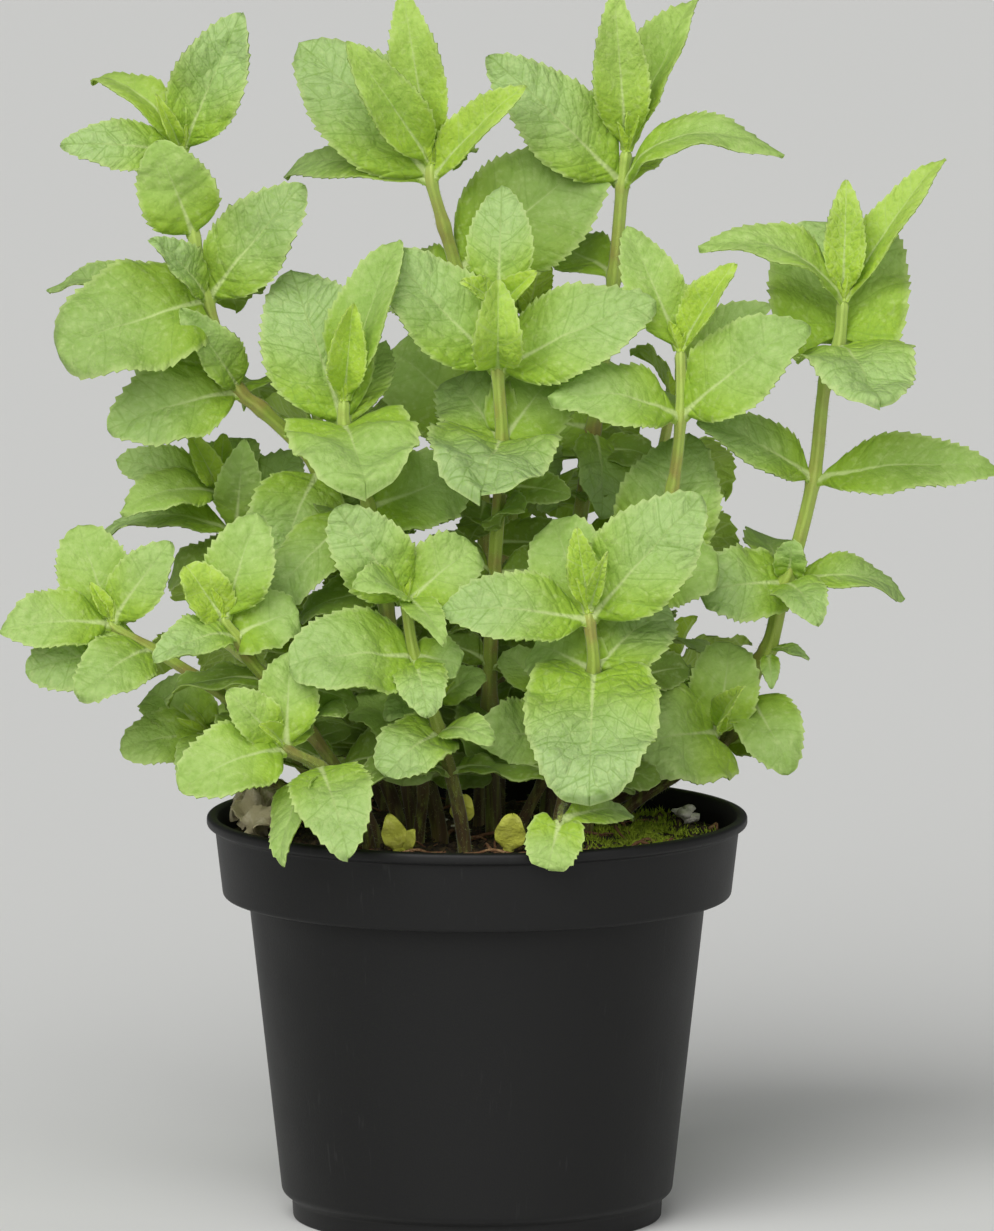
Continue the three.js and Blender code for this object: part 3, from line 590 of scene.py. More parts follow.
class Paint:
    """A material in the making: its node tree, with one method that adds any node."""

    def __init__(self, name: str) -> None:
        """Starts an empty material."""
        self.material = bpy.data.materials.new(name)
        self.material.use_nodes = True
        self.tree = self.material.node_tree
        self.tree.nodes.clear()

    def add(
        self,
        kind: str,
        settings: dict[str, object] | None = None,
        inputs: dict[str | int, object] | None = None,
        output: str | int = 0,
    ) -> Wire | None:
        """Adds a node.

        Args:
            kind: Its type.
            settings: Its properties, set first.
            inputs: A value or a wire for its sockets, by name or number.
            output: The output that is wanted.

        Returns:
            That output, or None if the node has none.
        """
        made = self.tree.nodes.new(kind)
        for key, value in (settings or {}).items():
            setattr(made, key, value)
        for key, value in (inputs or {}).items():
            if isinstance(value, Wire):
                self.tree.links.new(value.socket, made.inputs[key])
            else:
                made.inputs[key].default_value = value
        return Wire(self, made.outputs[output]) if len(made.outputs) else None

    def split(self, vector: Wire) -> list[Wire]:
        """The three parts of a vector."""
        made = self.add("ShaderNodeSeparateXYZ", None, {0: vector})
        return [Wire(self, socket) for socket in made.socket.node.outputs]

    def map(self, name: str) -> list[Wire]:
        """The two coordinates of one of the piece's maps."""
        return self.split(self.add("ShaderNodeUVMap", {"uv_map": name}))[:2]

    def look(self) -> list[Wire]:
        """The piece's four values at each point."""
        values = self.add("ShaderNodeAttribute", {"attribute_name": "look"}, None, "Color")
        return [*self.split(values), Wire(self, values.socket.node.outputs["Alpha"])]

    def net(self, onward: Wire, outward: Wire, pace: Wire | float) -> Wire:
        """How far a place is from the nearest line of a net of uneven cells, each about 1 / pace across. The
        distance is given as a share of that."""
        place = self.add("ShaderNodeCombineXYZ", None, {0: onward, 1: outward})
        settings = {"feature": "DISTANCE_TO_EDGE", "voronoi_dimensions": "2D"}
        inputs = {"Vector": place, "Scale": pace, "Randomness": 0.85}
        return self.add("ShaderNodeTexVoronoi", settings, inputs, "Distance")

    def noise(self, size: float, detail: float = 2.0, upright: float = 1.0) -> Wire:
        """Noise from 0 to 1 in the object's space, whose lumps are about size millimetres across, and longer
        by 1 / upright along the height."""
        place = self.add("ShaderNodeTexCoord", None, None, "Object")
        place = self.add("ShaderNodeMapping", None, {"Vector": place, "Scale": (1, 1, upright)})
        inputs = {"Vector": place, "Scale": 1 / (size * MM), "Detail": detail}
        return self.add("ShaderNodeTexNoise", None, inputs)

    def mix(self, first: Wire | Colour, second: Wire | Colour, share: Wire | float) -> Wire:
        """One colour turning into another as share goes from 0 to 1."""
        settings = {"data_type": "RGBA", "clamp_factor": True}
        return self.add("ShaderNodeMix", settings, {0: share, 6: first, 7: second}, 2)

    def bump(self, height: Wire, depth: float) -> Wire:
        """The normal of a surface that rises depth millimetres where height goes from 0 to 1."""
        return self.add("ShaderNodeBump", None, {"Distance": depth * MM, "Height": height}, "Normal")

    def surface(
        self, inputs: dict[str, object], through: Colour | None = None, share: float = 0.0
    ) -> bpy.types.Material:
        """Finishes the material.

        Args:
            inputs: What the main shader's sockets get.
            through: The colour of light that comes through a thin leaf, or None.
            share: How much of the surface lets it through.

        Returns:
            The material.
        """
        shader = self.add("ShaderNodeBsdfPrincipled", None, inputs)
        if through:
            thin = self.add("ShaderNodeBsdfTranslucent", None, {"Color": through})
            shader = self.add("ShaderNodeMixShader", None, {0: share, 1: shader, 2: thin})
        self.add("ShaderNodeOutputMaterial", None, {"Surface": shader})
        return self.material


@dataclass(frozen=True)
class LeafFinish:
    """Living leaf: green and quilted, yellower when young and at its foot, paler towards its tip, with darker
    lines in the sunken veins of its upper face and pale ones on the raised veins below. The darker lines are
    painted shade in the grooves of the veins. The yellower foot is partly painted shade near the stem, the
    paler tip partly a painted sheen, the pale edge partly a painted rim highlight, and the darker olive of
    older leaves partly painted shade inside the plant."""

    name: str = "living_leaf"
    grown: Colour = srgb(173, 206, 75)
    pale_tip_and_sheen: Colour = srgb(189, 217, 148)
    deep: Colour = srgb(146, 184, 78)
    old_and_shaded: Colour = srgb(110, 136, 38)
    fresh: Colour = srgb(196, 226, 70)
    foot: Colour = srgb(160, 196, 52)
    line: Colour = srgb(104, 142, 48)
    pale: Colour = srgb(220, 236, 160)
    below: Colour = srgb(162, 192, 78)
    through: Colour = srgb(196, 220, 34)
    thin: float = 0.36

    def build(self) -> bpy.types.Material:
        """The material. Side veins lie where the first vein coordinate is whole, the midrib where the way
        out from it is short, and a net of smaller veins between them."""
        paint = Paint(self.name)
        across, onward = paint.map("veins")
        out, along = paint.map("place")
        tint, young, under, edge = paint.look()
        side = across.to_whole()
        sheared = onward - 0.6 * out
        net = paint.net(sheared, out, 0.25 + 0.2 * young)
        small = paint.net(sheared, out, 0.66 + 0.3 * young)
        midrib = 1 - out.step(0.08, 0.34)
        lines = (1 - side.step(0.0, 0.045)).most((0.35 + 0.5 * tint) * (1 - net.step(0.0, 0.075)))
        lines = lines.most(0.22 * (1 - small.step(0.0, 0.1))).most(midrib)
        pillow = net.step(0.0, 0.3) * side.step(0.0, 0.2) + 0.2 * small.step(0.0, 0.3)
        grain = paint.noise(0.7, 3.0)
        mottle = paint.noise(1.6, 3.0)
        patches = paint.noise(9.0, 2.0)

        # Paler and bluer towards the tip: partly the leaf's own colour, partly a painted sheen of its hairs.
        colour = paint.mix(self.grown, self.pale_tip_and_sheen, along.step(0.2, 0.85) * (0.5 + 0.5 * tint))
        colour = paint.mix(colour, self.deep, patches.step(0.4, 0.75) * (1 - tint) * 0.4)
        # Yellower and a little darker at the foot: partly the leaf's own colour, partly painted shade near
        # the stem.
        colour = paint.mix(colour, self.foot, (1 - along.step(0.0, 0.6)) * 0.85)
        # Darker olive for older leaves, which also stands as painted shade on leaves low and inside the
        # plant.
        colour = paint.mix(colour, self.old_and_shaded, -1 * young)
        colour = paint.mix(colour, self.fresh, young)
        colour = paint.mix(colour, self.pale, mottle.step(0.5, 0.75) * 0.35)
        colour = paint.mix(colour, self.deep, (1 - mottle.step(0.3, 0.5)) * 0.4)
        # Darker lines in the sunken veins: painted shade in their grooves. On young leaves the lines are pale
        # instead.
        colour = paint.mix(colour, paint.mix(self.line, self.pale, young), lines * (0.2 + 0.36 * tint))
        colour = paint.mix(colour, self.pale, (1 - (out + 1.1 * along).step(0.45, 1.25)) * 0.9)
        # A pale fringe at the edge: partly the margin's pale hairs, partly a painted rim highlight.
        colour = paint.mix(colour, self.pale, edge.step(0.88, 1.0) * 0.45)
        lower = paint.mix(paint.mix(self.below, self.old_and_shaded, -0.7 * young), self.fresh, young)
        lower = paint.mix(lower, self.pale, lines * 0.4)
        colour = paint.mix(colour, lower, under)

        height = pillow * (0.3 + 0.8 * tint) * (1 - 2 * under) * (1 - 0.5 * young) + grain * 0.8
        inputs = {
            "Base Color": colour,
            "Roughness": 0.5 + 0.18 * grain,
            "Normal": paint.bump(height, 0.3),
            "Specular IOR Level": 0.35,
            "Sheen Weight": 0.06,
            "Sheen Roughness": 0.5,
        }
        return paint.surface(inputs, self.through, self.thin)


@dataclass(frozen=True)
class StemFinish:
    """Living stem: olive green with pale hairs, and browner and purple towards the soil, where its darker
    base is partly its own woody colour and partly painted shade.
    """

    name: str = "living_stem"
    green: Colour = srgb(150, 170, 66)
    young: Colour = srgb(184, 208, 106)
    woody_brown_and_shade: Colour = srgb(82, 64, 36)
    purple: Colour = srgb(150, 112, 70)

    def build(self) -> bpy.types.Material:
        """The material. It reads the share of the way up the stem, the height over the soil in tenths of a
        metre, and 1 on the hairs or 0 on the stem itself."""
        paint = Paint(self.name)
        share, height, hairs, _ = paint.look()
        streaks = paint.noise(1.6, 3.0, 0.12)
        blotches = paint.noise(7.0, 2.0)
        colour = paint.mix(self.green, self.young, share.step(0.45, 1.0) * 0.8)
        colour = paint.mix(colour, self.purple, blotches.step(0.4, 0.7) * (1 - share.step(0.5, 1.0)) * 0.6)
        # Darker and browner near the soil: partly the woody base's own colour, partly painted shade low in
        # the plant.
        low = 1 - height.step(0.05, 0.5)
        colour = paint.mix(colour, self.woody_brown_and_shade, low * (0.4 + 0.6 * streaks.step(0.25, 0.6)))
        colour = paint.mix(colour, self.young, hairs * 0.4)
        inputs = {
            "Base Color": colour,
            "Roughness": 0.5 + 0.2 * streaks,
            "Normal": paint.bump(streaks, 0.15),
            "Sheen Weight": 0.25,
            "Sheen Roughness": 0.4,
        }
        return paint.surface(inputs)


@dataclass(frozen=True)
class PotFinish:
    """Moulded black plastic: satin, with a faint grain and a little dust and scuffing."""

    name: str = "moulded_plastic"
    plastic: Colour = srgb(13, 13, 13)
    scuff: Colour = srgb(40, 40, 39)

    def build(self) -> bpy.types.Material:
        """The material."""
        paint = Paint(self.name)
        grain = paint.noise(0.5, 4.0)
        clouds = paint.noise(24.0, 3.0)
        scratches = paint.noise(1.2, 2.0, 0.08)
        worn = scratches.step(0.62, 0.75) * clouds.step(0.5, 0.7)
        inputs = {
            "Base Color": paint.mix(self.plastic, self.scuff, worn * 0.5),
            "Roughness": 0.4 + 0.14 * clouds + 0.1 * grain,
            "Specular IOR Level": 0.3,
            "Normal": paint.bump(grain, 0.03),
        }
        return paint.surface(inputs)


@dataclass(frozen=True)
class EarthFinish:
    """A crumbly finish: one dark colour with lighter flecks, rough and a little moist."""

    name: str
    dark: Colour
    light: Colour
    size: float = 1.6
    share: float = 0.6
    rough: float = 0.85

    def build(self) -> bpy.types.Material:
        """The material."""
        paint = Paint(self.name)
        coarse = paint.noise(2.2 * self.size, 5.0)
        fine = paint.noise(0.5 * self.size, 4.0)
        flecks = coarse.step(0.42, 0.72) * fine.step(0.3, 0.7)
        inputs = {
            "Base Color": paint.mix(self.dark, self.light, flecks * self.share),
            "Roughness": self.rough - 0.25 * coarse.step(0.5, 0.8),
            "Normal": paint.bump(coarse + 0.5 * fine, 0.6),
        }
        return paint.surface(inputs)


class Finish(Enum):
    """The object's finishes."""

    LEAF = LeafFinish()
    STEM = StemFinish()
    POT = PotFinish()
    SOIL = EarthFinish("moist_peat", srgb(42, 33, 20), srgb(130, 104, 62))
    CRUMB = EarthFinish("peat_crumb", srgb(50, 38, 22), srgb(140, 114, 72), 1.0)
    GRAIN = EarthFinish("pale_grain", srgb(226, 222, 208), srgb(250, 248, 240), 0.8)
    ROOT = EarthFinish("brown_root", srgb(116, 80, 52), srgb(198, 166, 118), 1.2)
    MOSS = EarthFinish("green_moss", srgb(160, 184, 40), srgb(226, 236, 96), 0.9)
    YELLOW = EarthFinish("yellow_leaf", srgb(196, 200, 76), srgb(224, 220, 128), 1.6, 0.5, 0.6)
    DRY = EarthFinish("dry_leaf", srgb(186, 176, 138), srgb(236, 230, 204), 1.8)

    def material(self) -> bpy.types.Material:
        """The material, made on first use."""
        found = bpy.data.materials.get(self.value.name)
        return found or self.value.build()


def dress(piece: bpy.types.Object, finish: Finish, slot: str, *nodes: str) -> None:
    """Gives a piece its finish, sets it on the body and hides the nodes that it stands for."""
    piece.data.materials.clear()
    piece.data.materials.append(finish.material())
    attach(piece, "root")
    if nodes:
        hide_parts(*nodes)
    log.info("%s: %d faces", piece.name, len(piece.data.polygons))


# ---- Leafy shoots ----


@dataclass
class Shoot:
    """One leafy shoot: its stem's half width at the foot and at the top, and its nodes from the soil up."""

    name: str
    foot: float
    top: float
    nodes: list[Node]
    number: int = 0
    sides: int = 20
    ring_step: float = 1.1
    node_swell: float = 0.22
    node_reach: float = 2.2
    end_reach: float = 3.2
    end_taper: float = 0.75
    hairs_per_mm: float = 7.0
    hair_length: float = 0.75
    hair_half: float = 0.035
    hair_root: float = 0.02
    lowest_pair: tuple[float, float] = (16.0, 24.0)
    under_leaves: float = 6.0
    pair_step: float = 11.0
    small_length: tuple[float, float] = (13.0, 26.0)
    runner_half: float = 1.5
    hair_draws: int = 500
    low_draws: int = 800
    tip_draws: int = 300

    def draw(self, series: int) -> np.random.Generator:
        """The random draws of one series, of which each shoot has its own."""
        return np.random.default_rng(series + self.number)

    def line(self) -> tuple[Array, Array, Array]:
        """The stem's points, directions and shares along it, from under the soil to over the last node."""
        first = self.nodes[0].at[:2]
        places = [np.array([*first, SOIL_TOP - ROOTED]), np.array([*first, SOIL_TOP + UPRIGHT])]
        places += [one.at for one in self.nodes[1:]]
        places.append(places[-1] + unit(places[-1] - places[-2]) * BUD)
        places = np.array(places)
        gaps = np.linalg.norm(np.diff(places, axis=0), axis=1)
        steps = np.maximum(2, np.round(gaps / self.ring_step)).astype(int)
        shares = [(k + np.arange(count) / count) / len(gaps) for k, count in enumerate(steps)]
        shares = np.concatenate([*shares, [1.0]])
        return *through(places, shares), shares

    def half(self, points: Array, shares: Array) -> Array:
        """The stem's half width along its line: it tapers, swells at each node and is rounded at its end."""
        knots = np.array([one.at for one in self.nodes[1:]])
        near = np.linalg.norm(points[:, None] - knots[None], axis=2).min(axis=1)
        swell = 1 + self.node_swell * np.exp(-((near / self.node_reach) ** 2))
        to_end = np.linalg.norm(points - points[-1], axis=1)
        end = 1 - self.end_taper * smooth(to_end, self.end_reach, 0.0)
        return fade(shares, self.foot, self.top) * swell * end

    def square(self, turn: Array) -> Array:
        """The stem's section, as a share of its half width: a square with soft ribs at its corners.

        It is 0.68, and 0.29 times the cosine of twice the angle from a rib, to the power of 1.7.
        """
        return 0.68 + 0.29 * np.abs(np.cos(2 * turn)) ** 1.7

    def stem(self) -> bpy.types.Object:
        """The stem: its section carried along its line, and its hairs."""
        points, ahead, shares = self.line()
        half = self.half(points, shares)
        section = half[:, None] * self.square(np.linspace(0, TURN, self.sides, endpoint=False))
        height = (points[:, 2] - SOIL_TOP) / 100
        skin = Skin()
        skin.tube(points, ahead, section, np.stack([shares, height, 0 * shares, 0 * shares], axis=1))
        self.down(skin, points, ahead, half)
        return skin.piece(f"{self.name}_stem")

    def down(self, skin: Skin, points: Array, ahead: Array, half: Array) -> None:
        """Adds the stem's fine hairs: three-sided spikes that stand out and point a little down."""
        draw = self.draw(self.hair_draws)
        gaps = np.linalg.norm(np.diff(points, axis=0), axis=1)
        gaps = gaps * (points[1:, 2] > SOIL_TOP + 1)
        count = int(gaps.sum() * self.hairs_per_mm)
        way = np.cumsum(gaps)
        at = np.clip(np.searchsorted(way, draw.uniform(0, way[-1], count)), 0, len(points) - 2)
        mixed = draw.uniform(0, 1, count)[:, None]
        centre = points[at] * (1 - mixed) + points[at + 1] * mixed
        turn = TURN / 4 * draw.integers(0, 4, count) + draw.normal(0, 0.35, count)
        left, front = across(ahead[at])
        out = left * np.cos(turn)[:, None] + front * np.sin(turn)[:, None]
        root = centre + out * (half[at] * (self.square(turn) - self.hair_root))[:, None]
        length = self.hair_length * draw.uniform(0.5, 1.2, count)
        tip = root + (out - 0.35 * ahead[at]) * length[:, None]
        beside = np.cross(ahead[at], out)
        corners = (beside * 0.87 - ahead[at] * 0.5, -beside * 0.87 - ahead[at] * 0.5, ahead[at])
        feet = np.stack([root + corner * self.hair_half for corner in corners], axis=1)
        skin.spikes(feet, tip, (1, 1, 1, 0))

    def undergrowth(self) -> list[tuple[Array, Leaf]]:
        """The small leaves in pairs low on the stem, under its first leafy node, each pair across the last.

        They stand out level or a little down or up.
        """
        draw = self.draw(self.low_draws)
        points, _, _ = self.line()
        top = next(one for one in self.nodes if one.leaves).at[2] - self.under_leaves
        heights = np.arange(SOIL_TOP + draw.uniform(*self.lowest_pair), top, self.pair_step)
        made = []
        for k, height in enumerate(heights):
            foot = points[np.argmin(np.abs(points[:, 2] - height))]
            turn = draw.uniform(-0.5, 0.5) + k * np.pi / 2
            for way in (turn, turn + np.pi):
                long, rise = draw.uniform(*self.small_length), draw.uniform(-0.35, 0.5)
                tip = foot + unit(np.array([math.cos(way), math.sin(way), rise])) * long
                lean, side = draw.uniform(15, 60), draw.uniform(-25, 25)
                wide, arch = long * draw.uniform(0.58, 0.72), draw.uniform(0.05, 0.14)
                made.append((foot, Leaf(tip, wide, arch, draw.uniform(10, 24), lean, side)))
        return made

    def bud(self) -> list[tuple[Array, Leaf]]:
        """The smallest leaves, which stand in pairs at the tip and close over it, the inner pair across the
        outer one. A thin runner has none."""
        if self.foot < self.runner_half:
            return []
        draw = self.draw(self.tip_draws)
        points, ahead, _ = self.line()
        turn = draw.uniform(0.3, 1.2)
        made = []
        for long, lean in ((8.5, 0.5), (6.0, 0.25)):
            for way in (turn, turn + np.pi):
                out = np.array([math.cos(way), math.sin(way), 0.0])
                foot = points[-1] - 1.2 * ahead[-1] + 0.5 * out
                tip = foot + unit(ahead[-1] + lean * out) * long * draw.uniform(0.85, 1.15)
                side = math.degrees(math.asin(-out[0] * 0.9))
                made.append((foot, Leaf(tip, 0.42 * long, -0.06, 34, 80 if out[1] > 0 else -80, side)))
            turn += np.pi / 2
        return made

    def leaves(self) -> bpy.types.Object:
        """All the shoot's leaves in one mesh. Near the tip, small leaves and those still folded are young.
        Further down they are darker olive, as older leaves and as painted shade inside the plant, but for
        those that reach far to the front."""
        skin = Skin()
        first = 1000 * self.number
        for level, place in enumerate(reversed(self.nodes)):
            for k, one in enumerate(place.leaves):
                blade = Blade(place.at, one, first + 20 * level + k)
                folded = smooth(one.fold, 14, 36) * (1 - smooth(one.wide, 13, 21))
                # Lower leaves that stay back inside the plant get a little painted shade, as darker olive.
                inner_shade = 0.22 * smooth(one.tip[1], -60, -35)
                young = 0.2 * (1 - smooth(blade.length, 12, 38)) + (0.7 * folded if level < 2 else -inner_shade)
                blade.add_to(skin, np.random.default_rng(blade.seed + 9).uniform(0, 1), young)
        for k, (foot, one) in enumerate(self.undergrowth()):
            # The undergrowth is darker olive: older leaves, and painted shade low inside the plant.
            Blade(foot, one, first + 500 + k, fine=1.3).add_to(skin, 0.3, -0.8)
        for k, (foot, one) in enumerate(self.bud()):
            Blade(foot, one, first + 900 + k, bare_stalk=0.0).add_to(skin, 0.6, 0.9)
        return skin.piece(f"{self.name}_leaves", 50)

    def build(self) -> None:
        """Makes the shoot's two pieces, which stand for its node."""
        dress(self.leaves(), Finish.LEAF, "leaf", self.name)
        dress(self.stem(), Finish.STEM, "stem", self.name)


